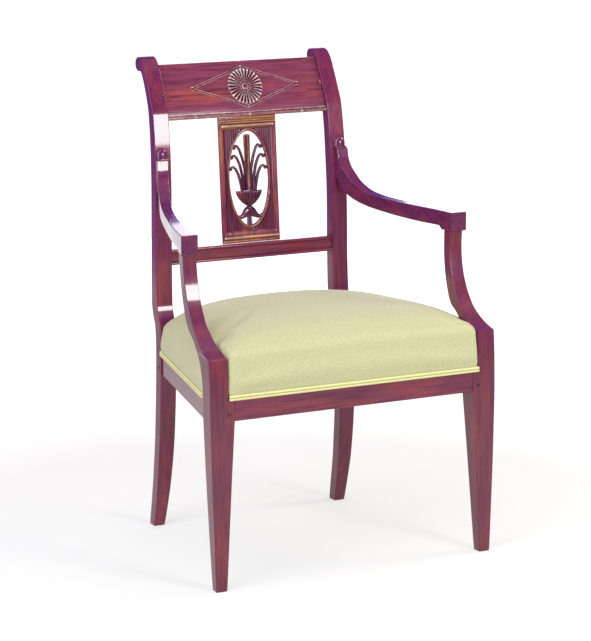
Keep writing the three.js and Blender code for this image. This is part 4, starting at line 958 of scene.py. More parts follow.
def stay_section():
    """A bead, a quirk, the flat face, a quirk and a bead, and then the back with its eased edges."""
    low, high, face = STAY_BOTTOM, STAY_TOP, STAY_FACE

    def bead(height, start, end):
        angle = np.radians(np.linspace(start, end, 9))
        out, up = face + STAY_BEAD / 2 - STAY_BEAD * np.cos(angle), height + STAY_BEAD * np.sin(angle)
        return np.stack([out, up], 1)

    lower, upper = bead(low + STAY_BEAD, -90, 60), bead(high - STAY_BEAD, -60, 90)
    flat = np.stack([np.full(6, face + 0.4), np.linspace(low + 7, high - 7, 6)], 1)
    back = np.array([[face + STAY_THICK - 1, high], [face + STAY_THICK, high - 1],
                     [face + STAY_THICK, low + 1], [face + STAY_THICK - 1, low]])
    quirk_low, quirk_high = [[face + 1.2, low + 6.1]], [[face + 1.2, high - 6.1]]
    return np.concatenate([lower, quirk_low, flat, quirk_high, upper, back])


stay_wood = mahogany("mahogany_stay", ALONG_X, (2.1, 0.2, 0.4))
make_piece("stay", [moulded(stay_section())], stay_wood, ["stay_rail"])

# %% [markdown]
# ## Splat
# The splat is one board that leans back between the stay rail and the crest. A carver would draw
# the oval, saw it out, sink the panel round it and leave a raised rim. The board is made as rings
# that run once round the opening: up its inner wall, over the rim, across the panel and the frame,
# round the edge, and back behind.

# %% The splat's own coordinates
SPLAT_HALF, SPLAT_THICK, SPLAT_EDGE, SPLAT_ARRIS = 59.5, 10, 5, 1.1
PANEL_HALF, PANEL_DEPTH, PANEL_SLOPE = 53.8, 3.6, 5.6
OVAL_HALF, OVAL_RIM, OVAL_RIM_END = 40.5, 4.3, 6.5
splat_base = np.array([STAY_FACE + 3, STAY_TOP + 1.1])
splat_head = np.array([float(post_front(CREST_BOTTOM)) + 11.5, CREST_BOTTOM - FIT])
SPLAT_HEIGHT = float(np.linalg.norm(splat_head - splat_base))
splat_along = (splat_head - splat_base) / SPLAT_HEIGHT
OVAL_CENTRE, OVAL_HEIGHT = 0.507 * SPLAT_HEIGHT, 0.3715 * SPLAT_HEIGHT
PANEL_LOW, PANEL_HIGH = 0.074 * SPLAT_HEIGHT, 0.915 * SPLAT_HEIGHT
print(f"splat {SPLAT_HEIGHT:.1f} mm tall, opening {2 * OVAL_HALF:.0f} by {2 * OVAL_HEIGHT:.0f} mm")


def leant(parts):
    """Parts drawn flat, as across, up the board and out of its face, put in place in the back."""
    placed = []
    for points, faces in parts:
        x, up, out = points.T
        y = splat_base[0] + up * splat_along[0] - out * splat_along[1]
        z = splat_base[1] + up * splat_along[1] + out * splat_along[0]
        placed.append((places(x, y, z), faces))
    return placed


# %% Splat board
def square_ring(half, low, high, out, counts=(48, 92)):
    """Points once round a rectangle, anticlockwise from the bottom left corner."""
    s, t = [np.linspace(0, 1, count, endpoint=False) for count in counts]
    x = np.concatenate([mix(-half, half, s), half + 0 * t, mix(half, -half, s), -half + 0 * t])
    up = np.concatenate([low + 0 * s, mix(low, high, t), high + 0 * s, mix(high, low, t)])
    return places(x, up, out)


panel_ring = square_ring(PANEL_HALF, PANEL_LOW, PANEL_HIGH, 0)
oval_angle = np.arctan2((panel_ring[:, 1] - OVAL_CENTRE) / OVAL_HEIGHT, panel_ring[:, 0] / OVAL_HALF)


def oval_ring(margin, end_margin, out):
    """Points once round the oval, each in the direction of its fellow on the panel's edge."""
    x = np.cos(oval_angle) * (OVAL_HALF + margin)
    up = OVAL_CENTRE + np.sin(oval_angle) * (OVAL_HEIGHT + end_margin)
    return places(x, up, out)


def splat_board():
    """Rings from the back of the opening over its rim, and on outwards as the text above says. The
    slope of the panel is a shallow hollow, and the frame swells by a hair."""
    over = [(1 - math.cos(turn)) / 2 for turn in np.linspace(0, math.pi, 11)]
    rim = [oval_ring(OVAL_RIM * s, OVAL_RIM_END * s, -1.7 + 4.2 * math.sqrt(s * (1 - s))) for s in over]

    def panel_edge(inset, out):
        return square_ring(PANEL_HALF - inset, PANEL_LOW + inset, PANEL_HIGH - inset, out)

    slope = [panel_edge(
        PANEL_SLOPE * (1 - s), 0.9 * math.sin(math.pi * s) - PANEL_DEPTH * (1 - s),
    ) for s in (0.08, 0.3, 0.5, 0.7, 0.93)]
    arris = [square_ring(
        SPLAT_HALF - SPLAT_ARRIS * (1 - math.sin(c)), 0, SPLAT_HEIGHT, SPLAT_ARRIS * (math.cos(c) - 1),
    ) for c in np.linspace(0, math.pi / 2, 4)]
    frame_bead = [square_ring(
        mix(PANEL_HALF + 0.6, SPLAT_HALF - 1.6, s), mix(PANEL_LOW - 0.6, 0.5, s),
        mix(PANEL_HIGH + 0.6, SPLAT_HEIGHT - 0.5, s), 0.2 * math.sin(math.pi * s),
    ) for s in np.linspace(0, 1, 7)]
    return skin(np.stack([
        oval_ring(SPLAT_EDGE, SPLAT_EDGE, -SPLAT_THICK),
        oval_ring(0.2, 0.2, -SPLAT_EDGE - 0.3), oval_ring(0, 0, -SPLAT_EDGE + 0.3),
        *rim, oval_ring(OVAL_RIM + 0.15, OVAL_RIM_END + 0.15, -PANEL_DEPTH),
        panel_edge(PANEL_SLOPE, -PANEL_DEPTH), *slope, panel_edge(-0.3, 0.0),
        *frame_bead, *arris, square_ring(SPLAT_HALF, 0, SPLAT_HEIGHT, -SPLAT_EDGE),
        square_ring(SPLAT_HALF - SPLAT_EDGE, SPLAT_EDGE, SPLAT_HEIGHT - SPLAT_EDGE, -SPLAT_THICK),
    ]), closed=True)


# %% Ridged ground and reeds
RIDGE_PITCH, RIDGE_HEIGHT = 4.5, 1.8


def ridges(side):
    """Upright ridges on the sunk ground, above or below the oval: half waves across, from the
    oval's rim to the foot of the panel's slope."""
    half = PANEL_HALF - PANEL_SLOPE
    x = np.linspace(-half, half, int(2 * half / RIDGE_PITCH) * 8 + 1)
    reach, tall = OVAL_HALF + OVAL_RIM - 0.4, OVAL_HEIGHT + OVAL_RIM_END - 0.5
    start = tall * np.sqrt(np.clip(1 - (x / reach) ** 2, 0, 1))
    end = (PANEL_HIGH - OVAL_CENTRE if side > 0 else OVAL_CENTRE - PANEL_LOW) - PANEL_SLOPE + 0.7
    wave = RIDGE_HEIGHT * np.abs(np.sin(math.pi * x / RIDGE_PITCH)) - PANEL_DEPTH - 0.02
    share = np.linspace(0, 1, 18)
    up = mix(start[:, None], end, share)
    fronts = places(x[:, None], OVAL_CENTRE + side * up, wave[:, None])
    backs = fronts[:, ::-1][:, [0, -1]] * [1, 1, 0] + [0, 0, -PANEL_DEPTH - 1.2]
    return skin(np.concatenate([fronts, backs], 1))


def reed(share, radius, half=SPLAT_HALF - 0.4):
    """A round bar across the splat at a share of its height. Shorter ones have rounder ends."""
    turn = full_turn(20)
    x = np.linspace(-half, half, 30)[:, None]
    up = share * SPLAT_HEIGHT + radius * np.cos(turn)
    out = radius * (np.sin(turn) - 0.1)
    ease = 0.6 if half > PANEL_HALF + 3 else 1.8
    return skin(capped(places(x, up, out), ease))


reeds = [(0.015, 1.8), (0.95, 1.7), (0.967, 1.75), (0.985, 1.8)]
bars = [(0.042, 2.6, 56.5), (0.924, 2.7, 54.0)]
# The lighter edge colours of the splat, the ground and the reeds are painted highlights on the rim, the frame,
# the ridge tops and the reeds.
splat_wood = mahogany("mahogany_splat", ALONG_Z, (0.5, 1.9, 1.1), middle="7e2e44", warm="a05a38",
                      figure=1.15, gloss=0.24, edge_wear_and_highlight="a86a48", edge_rounding=(0.03, 0.2))
ground_wood = mahogany("mahogany_ground", ALONG_Z, (0.2, 0.9, 1.6), dark="3c1226", middle="6e2a40",
                       warm="8c4638", figure=1.1, gloss=0.3, edge_wear_and_highlight="b4706a", edge_rounding=(0.15, 0.7))
reed_wood = mahogany("mahogany_reeds", ALONG_X, (0.6, 1.2, 0.1), dark="561e2c", middle="945034",
                     warm="cc9040", figure=1.2, gloss=0.2, edge_wear_and_highlight="e4c48c", edge_rounding=(0.2, 0.7))
# The bars' pale tones and near-white edges are a painted highlight that runs along them.
highlit_bar_wood = mahogany("mahogany_bars_highlit", ALONG_X, (0.9, 0.2, 0.7), dark="5c2c2c", middle="ac7c60",
                    warm="dcb080", figure=1.2, gloss=0.12, coat=1.0, edge_wear_and_highlight="fff4e6", edge_rounding=(0.05, 0.36))


def carve(name, parts, wood, nodes=(), sharp=40):
    """A piece of the splat, drawn flat and then leant back."""
    return make_piece(name, leant(parts), wood, nodes, sharp)


carved = [
    carve("splat_board", [splat_board()], splat_wood, ["splat"], 32),
    carve("splat_ground", [ridges(1), ridges(-1)], ground_wood, sharp=60),
    carve("splat_reeds", [reed(*row) for row in reeds], reed_wood),
    carve("splat_bars", [reed(*row) for row in bars], highlit_bar_wood),
]

# %% [markdown]
# ## Urn and plumes
# The carving that fills the opening is sawn from the same board and then rounded over. Each plume is
# a stroke between two edge lines with an oval section, and ends in a curled knob. The urn is half of
# a turned bowl with upright lobes, on a knot, a scrolled foot and a ridged stem.

# %% Strokes
CARVING_MIDDLE = -SPLAT_THICK / 2
BOWL_RIM, BOWL_DEPTH = OVAL_CENTRE - 0.26 * OVAL_HEIGHT, 0.318 * OVAL_HEIGHT
BOWL_HALF, BOWL_BULGE, BOWL_LOBES = 27.4, 6.5, 11
BOWL_FLOOR = BOWL_RIM - BOWL_DEPTH


def in_oval(rows):
    """Places given as shares of the oval's two half-lengths from its centre."""
    return np.array(rows) * [OVAL_HALF, OVAL_HEIGHT] + [0, OVAL_CENTRE]


def ribbon(first, second, thick, sides=18):
    """A stroke between two edge lines: across is a cosine from edge to edge, out is a sine."""
    middle, reach = (first + second) / 2, (second - first) / 2
    turn = full_turn(sides)
    flat = middle[:, None] + reach[:, None] * np.cos(turn)[None, :, None]
    out = CARVING_MIDDLE + thick * np.sign(np.sin(turn)) * np.abs(np.sin(turn)) ** 0.8
    return skin(np.concatenate([flat, np.broadcast_to(out, flat.shape[:2])[..., None]], -1))


def edges(line, half):
    """The two edges of a stroke, at right angles to its middle line."""
    along = directions(line)
    beside = np.stack([-along[:, 1], along[:, 0]], 1) * np.asarray(half)[:, None]
    return line + beside, line - beside


def blob(centre, radii):
    points, faces = ball([0, 0, 0], 1, 16, 28)
    return points * radii + centre, faces


def ridged(up, half, depth):
    """An upright stroke with a sharp ridge: its section has seven corners and is widened along it."""
    across = np.array([-1, -1, -0.55, 0.1, 0.6, 1, 1, 0.1])
    out = np.array([-7.6, -4.4, -2.6, -2.6 + depth, -2.9, -4.5, -7.6, -8.4])
    x = np.asarray(half)[:, None] * across
    return skin(places(x, up[:, None], out))


# %% Plumes
PLUME_TIPS = [0.66, 0.455, 0.21]
PLUME_LINES = [
    [[0.16, 0], [0.23, 0.5], [0.43, 0.78], [0.63, 0.97], [0.83, 1.06], [1, 1]],
    [[0.29, 0], [0.37, 0.45], [0.5, 0.76], [0.68, 0.98], [0.85, 1.07], [1, 1]],
    [[0.38, 0], [0.45, 0.4], [0.56, 0.75], [0.7, 1], [0.86, 1.11], [1, 1]],
]


def plume(side, tip_share, rows):
    """A stroke through the rows, which are shares of the way from the bowl's rim to the tip, and the
    curled knob that meets the oval."""
    tip_up = OVAL_CENTRE + tip_share * OVAL_HEIGHT
    tip = OVAL_HALF * math.sqrt(1 - tip_share ** 2) - 3
    line = np.array([[side * x * tip, mix(BOWL_RIM - 1.4, tip_up, up)] for x, up in rows])
    line = spread(line, 0.9, ease=2.2)
    share = np.linspace(0, 1, len(line))
    half = mix(2.6, 2.2, share) + 0.4 * np.sin(math.pi * share)
    knob = blob([side * tip, tip_up - 0.2, CARVING_MIDDLE], [4.0, 3.8, 4.1])
    lip = blob([side * (tip - 2.4), tip_up + 2.3, CARVING_MIDDLE + 0.6], [3.4, 1.9, 3.9])
    return [ribbon(*edges(line, half), 3.4), knob, lip]


def tall_plume():
    """The upright plume in the middle, which widens upwards and ends in a flat knob."""
    top = OVAL_CENTRE + 0.93 * OVAL_HEIGHT
    up = np.linspace(BOWL_RIM - 1.4, top - 1, 60)
    half = mix(4.4, 6.4, np.clip((up - OVAL_CENTRE) / (top - OVAL_CENTRE), 0, 1))
    return [ridged(up, half, 2.1), blob([0, top - 1.4, CARVING_MIDDLE + 0.2], [6.4, 1.9, 3.6])]


plumes = []
for tip_share, rows in zip(PLUME_TIPS, PLUME_LINES):
    plumes += plume(1, tip_share, rows) + plume(-1, tip_share, rows)
# The urn wood's lighter red edges are partly wear and partly a painted highlight on the side plumes, the lobes
# and the foot; the plume wood's orange edge colour is a painted highlight along the middle plume's ridge.
urn_wood = mahogany("mahogany_urn", ALONG_Z, (0.9, 1.4, 0.1), dark="260c22", middle="561c34",
                    warm="7e3634", figure=1.2, gloss=0.14, edge_wear_and_highlight="96483c", edge_rounding=(0.25, 0.9))
plume_wood = mahogany("mahogany_plume", ALONG_Z, (0.4, 1.1, 0.7), dark="260c22", middle="4c1a2e",
                      warm="7a3a2c", figure=1.2, gloss=0.14, edge_wear_and_highlight="d8883c", edge_rounding=(0.08, 0.3))
carved.append(carve("splat_plumes", plumes, urn_wood, sharp=38))
carved.append(carve("splat_middle_plume", tall_plume(), plume_wood, sharp=38))


# %% Urn
def bowl():
    """Half-width over depth below the rim, turned about the upright axis, flattened towards the
    back, with lobes that follow the absolute sine of the turn."""
    side = spread(np.array([
        [1, 0], [0.985, 0.09], [0.945, 0.21], [0.79, 0.52], [0.51, 0.82], [0.24, 1],
    ]) * [BOWL_HALF, BOWL_DEPTH], 0.9, ease=1.2)
    rim = np.array([[0.4, 0.4], [26.6, 0.1], [27.7, 0.2], [28.1, 0.9], [27.9, 1.8], [26.9, 2.2]])
    profile = np.concatenate([rim, side[side[:, 1] > 2.6], [[0.4, BOWL_DEPTH]]])
    half, down = profile.T[:, :, None]
    turn = full_turn(16 * BOWL_LOBES)
    lobe = 1.7 * np.abs(np.sin(BOWL_LOBES * turn)) ** 0.7 * np.clip((down - 2.4) / 2, 0, 1)
    lobe = lobe * np.clip(half / 8, 0, 1)
    x = (half + 0.4 * lobe) * np.cos(turn)
    out = CARVING_MIDDLE + (BOWL_BULGE * half / BOWL_HALF + lobe) * np.sin(turn)
    return skin(places(x, BOWL_RIM - down, out))


def foot(side):
    """The scrolled foot on one side, between its upper and its lower line, with a raised curl."""
    upper = spread(in_oval([
        [0, -0.58], [0.1, -0.6], [0.22, -0.64], [0.29, -0.69], [0.36, -0.75], [0.5, -0.79], [0.74, -0.74],
    ]), 0.8, ease=1.0)
    lower = in_oval([[0, -0.82], [0.12, -0.83], [0.27, -0.85], [0.42, -0.87], [0.74, -0.82]])
    lower = np.stack([upper[:, 0], smooth(lower)(upper[:, 0])], 1)
    curl = upper[(upper[:, 0] > 1.5) & (upper[:, 0] < 0.48 * OVAL_HALF)] - [0, 1.7]
    turned = np.array([side, 1])
    return [
        ribbon(upper * turned, lower * turned, 3.3),
        ribbon(*[edge * turned for edge in edges(curl, np.full(len(curl), 1.5))], 4.7),
        blob([*in_oval([side * 0.31, -0.755]), CARVING_MIDDLE + 1.5], [3.3, 3.3, 3.2]),
    ]


knot = blob([0, BOWL_FLOOR - 5.2, CARVING_MIDDLE], [7.6, 5.4, 4.6])
collar = blob([0, BOWL_FLOOR + 0.2, CARVING_MIDDLE], [7.2, 1.7, 4.3])
stem_up = np.linspace(OVAL_CENTRE - OVAL_HEIGHT - 2, OVAL_CENTRE - 0.68 * OVAL_HEIGHT, 30)
stem = ridged(stem_up, np.linspace(5.3, 3.9, 30), 3.4)
carved.append(carve("splat_urn", [bowl(), knot, collar, stem, *foot(1), *foot(-1)], urn_wood, sharp=38))
# Painted shade in the splat's carving: between the strokes, the reeds and the ridges.
mark_depths(carved)

# %% [markdown]
# ## Pegs and screws
# A peg is driven through every main joint and cut off flush. It shrinks less than the wood round it,
# so it stands a hair proud and keeps a dark line round it.

# %% Pegs
PEG_RADIUS, PEG_SET, FRONT_PEG_OUT = 3, 7.5, 249
PEG_HEIGHT, CREST_PEG_HEIGHT = 313, 810.6


def turned(face, direction, rows, closed=False):
    """A section of [radius, depth] pairs, turned about a line that runs from a face inwards."""
    face, direction = np.array(face, float), np.array(direction, float)
    side = np.array([direction[2], direction[0], direction[1]])
    other = np.cross(direction, side)
    turn = full_turn(28)[None, :, None]
    radius, depth = np.array(rows).T[:, :, None, None]
    around = side * np.cos(turn) + other * np.sin(turn)
    return [skin(face + direction * depth + radius * around, closed=closed)]


PEG_DOME = [[0.3, -0.36], [2.0, -0.34], [2.7, -0.22], [PEG_RADIUS, 0.0]]
PEG_GAP = [[3.05, -0.08], [3.75, -0.08], [3.8, 0.6], [3.05, 0.6]]
peg_wood = mahogany("peg_wood", ALONG_Z, (1.5, 1.5, 0.2), dark="2a0d14", middle="4a1c24", warm="6e3430")
gap_dark = Recipe(bpy.data.materials.new("peg_gap"))
gap_dark.finish(Base_Color=colour("16080a"), Roughness=0.8)

BACKWARDS, FORWARDS, INWARDS = [0, 1, 0], [0, -1, 0], [-1, 0, 0]
side_peg = LEG_BACK_LINE - PEG_SET
peg_places = {
    "front_peg": (FRONT_PEG_OUT, leg_front(PEG_HEIGHT), PEG_HEIGHT, BACKWARDS),
    "side_front_peg": (leg_outer(PEG_HEIGHT) - LEG_CANT * side_peg, side_peg, PEG_HEIGHT, INWARDS),
    "side_back_peg": (post_outer(PEG_HEIGHT) - POST_CANT * PEG_SET, POST_LINE + PEG_SET, PEG_HEIGHT, INWARDS),
    "back_peg": (post_inner(PEG_HEIGHT) + 4.5, post_back(PEG_HEIGHT), PEG_HEIGHT, FORWARDS),
    "crest_peg": (post_inner(CREST_PEG_HEIGHT) + 5, post_front(CREST_PEG_HEIGHT), CREST_PEG_HEIGHT, BACKWARDS),
}
for name, (*face, direction) in peg_places.items():
    low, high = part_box(f"{name}_right")
    length = max(high[axis] - low[axis] for axis in range(3)) / MILLIMETRE - 1
    pin = turned(face, direction, [*PEG_DOME, [PEG_RADIUS, length], [0.3, length]])
    make_pair(name.replace("peg", "pin"), pin, lambda side: peg_wood, name, sharp=30)
    gap = turned(face, direction, PEG_GAP, closed=True)
    for side, parts in (("right", gap), ("left", mirrored(gap))):
        make_piece(f"{name}_gap_{side}", parts, gap_dark.owner)

# %% Iron and deal on the hidden parts of the frame
iron = Recipe(bpy.data.materials.new("iron"))
rust = iron.noise(iron.place(), 420, 4)
rusted = iron.ramp(rust, (0.35, colour("3a2c26")), (0.65, colour("6b6460")))
iron.finish(Base_Color=rusted, Metallic=0.8, Roughness=0.5)
deal = mahogany("deal", ALONG_X, (0.3, 0.2, 0.1), dark="8a6a44", middle="b99467", warm="d2b384", gloss=0.6)
for kind, slot, finish in (("arm_screw", "iron", iron.owner), ("corner_block", "deal", deal)):
    for name, node_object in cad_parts.items():
        if name.startswith(kind):
            node_object.data.materials.clear()
            node_object.data.materials.append(finish)

# %% [markdown]
# ## Seat cover
# The seat is stuffed over its rails: horsehair on hessian and webbing, under one tight cover that is
# nailed to the rails and cut round the arm supports and the posts. A sheet could be draped over a
# block, but its folds would be hard to steer. So the cover starts as a crowned block. Its corners and
# the room between the rails are cut out, the skin is divided evenly, and a short cloth simulation
# with a little air pressure gives it the soft, slightly uneven swelling of a stuffed seat.

# %% Crowned block
COVER_THICK, COVER_GAP, COVER_BULGE = 1.6, 0.6, 2.2
COVER_OUT = COVER_GAP + COVER_THICK
PIPING_RADIUS, PIPING_PITCH = 2.6, 4.8
SKIRT_BOTTOM = NOTCH + FIT + 2 * PIPING_RADIUS + PIPING_PITCH + FIT
SHOULDER_FRONT, SHOULDER_BACK, CROWN = [CHAIR_HEIGHT * s for s in (0.4698, 0.4312, 0.5193)]
CLOTH_CAP, CLOTH_START, CLOTH_SQUARE, CLOTH_FRAMES = 4.0, 2.6, 5, 20
OPENING_SET, OPENING_TOP, BEYOND, BEHIND = 22, RAIL_TOP + 8, 40, 480


def crowned(margin, floor, side_margin):
    """Loops from the floor up the swelling sides, then inwards over the crown. The crown falls off
    as (1 - |x|^2.35)^0.34 across and (1 - |y|^2.45)^0.44 along."""
    front = FRONT_RAIL_SET - COVER_OUT + side_margin
    back = BACK_RAIL_BACK + COVER_OUT - side_margin
    loop = square_ring(1, -1, 1, 0, (96, 80))[:, :2]
    on_side = np.abs(np.abs(loop[:, 0]) - 1) < 1e-9
    away = np.sign(loop) * np.stack([on_side, ~on_side], 1)

    def at(across, along, share):
        y = mix(front, back, (along + 1) / 2)
        half = side_rail_outer(y) + COVER_OUT - side_margin
        edge = mix(SHOULDER_FRONT, SHOULDER_BACK, (along + 1) / 2) - margin
        rise = (1 - np.abs(across) ** 2.35) ** 0.34 * (1 - np.abs(along) ** 2.45) ** 0.44
        top = mix(edge, CROWN - margin, rise)
        return places(across * half, y, mix(floor, edge, share) if share < 1 else top)

    rings = []
    for share in np.linspace(0, 0.999, 16):
        ring = at(loop[:, 0], loop[:, 1], share)
        ring[:, :2] += COVER_BULGE * math.sin(math.pi * share) * away
        rings.append(ring)
    for scale in np.sin(np.linspace(1, 0.004, 60) * math.pi / 2):
        rings.append(at(loop[:, 0] * scale, loop[:, 1] * scale, 1))
    return skin(np.stack(rings))


def corner_rooms(margin):
    """What a leg's support and a post take out of the seat's corners, on both sides."""
    z = np.linspace(NOTCH - 12, CHAIR_HEIGHT * 0.62, 60)

    def room(x, near, rear):
        plan = (x, near), (SEAT_HALF + BEYOND, near), (SEAT_HALF + BEYOND, rear), (x, rear)
        return skin(np.stack([places(across, along, z) for across, along in plan], 1))

    support = room(SEAT_HALF - BLOCK_WIDTH - margin, -BEYOND, leg_back_at(z) + margin)
    post = room(post_inner(z) - margin, post_front(z) - margin, BEHIND)
    return [support, post, *mirrored([support, post])]


def seat_opening():
    """The room between the rails, which the cover leaves open for the webbing and the hessian."""
    near, far = FRONT_RAIL_SET + OPENING_SET, BACK_RAIL_FRONT + 2
    half = [float(side_rail_outer(y)) - OPENING_SET for y in (near, far)]
    loop = [(-half[0], near), (half[0], near), (half[1], far), (-half[1], far)]
    return skin(np.array([[(x, y, z) for x, y in loop] for z in (SKIRT_BOTTOM - 30, OPENING_TOP)]))


def applied(made):
    """The mesh of an object with its modifiers applied."""
    mesh = bpy.data.meshes.new_from_object(made.evaluated_get(bpy.context.evaluated_depsgraph_get()))
    made.modifiers.clear()
    return mesh


def set_points(mesh, points):
    mesh.vertices.foreach_set("co", np.asarray(points, float).ravel())
    mesh.update()


def notched_block(name, margin, side_margin, floor, square, openings=()):
    """The crowned block without its corners and openings, with an even skin of small squares."""
    block = raw_object(name, [crowned(margin, floor, side_margin)])
    for number, room in enumerate([*corner_rooms(COVER_GAP + side_margin), *openings]):
        cutter = raw_object(f"{name}_room_{number}", [room])
        cut = block.modifiers.new("cut", "BOOLEAN")
        cut.operation, cut.solver, cut.object = "DIFFERENCE", "EXACT", cutter
        block.data = applied(block)
        bpy.data.objects.remove(cutter)
    remesh = block.modifiers.new("even", "REMESH")
    remesh.mode, remesh.voxel_size = "VOXEL", square * MILLIMETRE
    block.data = applied(block)
    soften = block.modifiers.new("soften", "SMOOTH")
    soften.factor, soften.iterations = 0.5, 4
    block.data = applied(block)
    print(f"{name}: {len(block.data.vertices)} points after the remesh")
    return block


# %% Cloth simulation
def swell(made, pinned_below):
    """Air pressure pushes the skin out for a few frames. No point may move further than the cap:
    its travel d becomes cap * tanh(d / cap). Points below the pin line, and those that line the
    opening between the rails, stay where they are."""
    start = points_of(made.data)
    pins = made.vertex_groups.new(name="pins")
    across, along, high = ((start - [0, FRONT_OF_LEGS, 0]) / MILLIMETRE).T
    lining = (np.abs(across) < side_rail_outer(along) - OPENING_SET + 4) & (high < OPENING_TOP + 3)
    lining &= (along > FRONT_RAIL_SET + OPENING_SET - 4) & (along < BACK_RAIL_FRONT + 6)
    pins.add(np.nonzero(lining | (high < pinned_below))[0].tolist(), 1.0, "REPLACE")
    cloth = made.modifiers.new("cloth", "CLOTH")
    cloth.settings.use_pressure = True
    cloth.settings.uniform_pressure_force = 4
    cloth.settings.vertex_group_mass = "pins"
    cloth.settings.effector_weights.gravity = 0
    cloth.settings.quality = 5
    cloth.point_cache.frame_start, cloth.point_cache.frame_end = 1, CLOTH_FRAMES
    for number in range(1, CLOTH_FRAMES + 1):
        bpy.context.scene.frame_set(number)
    moved = points_of(applied(made)) - start
    bpy.context.scene.frame_set(1)
    made.vertex_groups.clear()
    travel = np.linalg.norm(moved, axis=1, keepdims=True) + 1e-9
    limit = CLOTH_CAP * MILLIMETRE
    set_points(made.data, start + moved / travel * limit * np.tanh(travel / limit))
    print(f"{made.name}: the cloth moved up to {1000 * travel.max():.1f} mm, kept under {CLOTH_CAP} mm")


cover = notched_block("seat_cover", CLOTH_START, 0.0, SKIRT_BOTTOM - 5, CLOTH_SQUARE, [seat_opening()])
swell(cover, SKIRT_BOTTOM + 14)


# %% Pulls in the cover
PULLS = [
    ([-246, 70], [-85, 205], 5.0, 12), ([-246, 46], [-190, 20], 2.5, 9), ([246, 46], [160, 110], 3.0, 11),
    ([-186, 380], [-120, 320], 3.0, 12), ([186, 380], [120, 320], 3.0, 12),
]


def pull(points, start, end, depth, width):
    """A shallow groove along a line in plan: its depth falls off like a bell across the line and
    like half a wave along it."""
    start, end = [np.array(place, float) * MILLIMETRE + [0, FRONT_OF_LEGS] for place in (start, end)]
    along = end - start
    share = np.clip(((points[:, :2] - start) @ along) / (along @ along), 0, 1)
    gap = np.linalg.norm(points[:, :2] - start - share[:, None] * along, axis=1)
    bell = np.exp(-(gap / (width * MILLIMETRE)) ** 2) * np.cos(share * math.pi / 2)
    on_top = np.clip((points[:, 2] - 0.40) / 0.02, 0, 1)
    points[:, 2] -= depth * MILLIMETRE * bell * on_top


def press(made):
    """All the pulls of the cover, pressed into one mesh. Each fades out down the seat's edges."""
    points = points_of(made.data)
    for row in PULLS:
        pull(points, *row)
    set_points(made.data, points)


press(cover)


# %% Cloth finish
def box_map(mesh):
    """Each face takes its two coordinates from the plane that it faces most, in metres."""
    layer = mesh.uv_layers.new(name="weave")
    corners = rows_of(mesh.loops, "vertex_index", 1, int).ravel()
    totals = rows_of(mesh.polygons, "loop_total", 1, int).ravel()
    facing = np.repeat(np.abs(rows_of(mesh.polygons, "normal")).argmax(1), totals)
    place = points_of(mesh)[corners]
    first = np.where(facing == 0, place[:, 1], place[:, 0])
    second = np.where(facing == 2, place[:, 1], place[:, 2])
    layer.data.foreach_set("uv", np.stack([first, second], 1).ravel())


def woven(name, low, high, pitch=0.0011, rough=0.8, sheen=0.35, depth=0.00025):
    """A plain weave: the product of two waves, one along each thread, gives the height, and noise
    stretched along both threads gives the uneven colour."""
    recipe = Recipe(bpy.data.materials.new(name))
    place = recipe.node("UVMap", uv_map="weave").outputs["UV"]
    waves, slubs = [], []
    for bands, stretch in (("X", (160, 1300, 1)), ("Y", (1300, 160, 1))):
        wave = {"Vector": place, "Scale": 1 / pitch / 2, "Distortion": 0.6, "Detail": 1}
        waves.append(recipe.node("TexWave", wave, wave_type="BANDS", bands_direction=bands).outputs["Fac"])
        slubs.append(recipe.noise(recipe.moved(place, Scale=stretch), 1, 2))
    slub = recipe.total(*slubs)
    cloudy = recipe.between(recipe.total(slub, recipe.noise(place, 420, 3)), 1.0, 2.0)
    tone = recipe.ramp(cloudy, (0.0, colour(low)), (1.0, colour(high)))
    recipe.bump(recipe.total(recipe.product(*waves), slub), 0.5, depth)
    # Points marked deep beside other parts darken to a painted shade; of the soft pieces only the piping
    # carries this mark.
    recipe.finish(
        Base_Color=recipe.blend(recipe.product(recipe.mark("hollow"), 0.8), tone, colour("5c5228")),
        Roughness=rough, Sheen_Weight=sheen, Sheen_Roughness=0.4, IOR=1.45,
    )
    return recipe.owner


def dress(made, finish, slot, *nodes):
    """A finished soft piece: its weave map, its material, and the CAD nodes that it stands for."""
    box_map(made.data)
    made.data.shade_smooth()
    made.data.materials.append(finish)
    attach(made, "root")
    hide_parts(*nodes)
    print(f"{made.name}: {len(made.data.polygons)} faces")


cover_cloth = woven("cover_cloth", "a8a473", "d4d1a8")
dress(cover, cover_cloth, "cover_cloth", "top_cover")

# %% [markdown]
# ## Piping
# A double cord, covered with the same cloth cut on the bias, hides the nails along the lower edge of
# the cover. Each cord is a tube, and the two touch along one line.

# %% Piping
PIPING_LOW = NOTCH + FIT + PIPING_RADIUS


def double_cord(start, end):
    """Two round cords, one above the other, along a straight line in plan."""
    start, end = [np.array([*place, PIPING_LOW], float) for place in (start, end)]
    line = mix(start, end, np.linspace(0, 1, 120)[:, None])[:, None]
    along = (end - start) / np.linalg.norm(end - start)
    turn = full_turn(20)[None, :, None]
    upright = np.array([0, 0, 1.0])
    round_off = PIPING_RADIUS * (np.array([-along[1], along[0], 0]) * np.cos(turn) + upright * np.sin(turn))
    return [skin(capped(line + lift * upright + round_off, 0.8)) for lift in (0, PIPING_PITCH)]


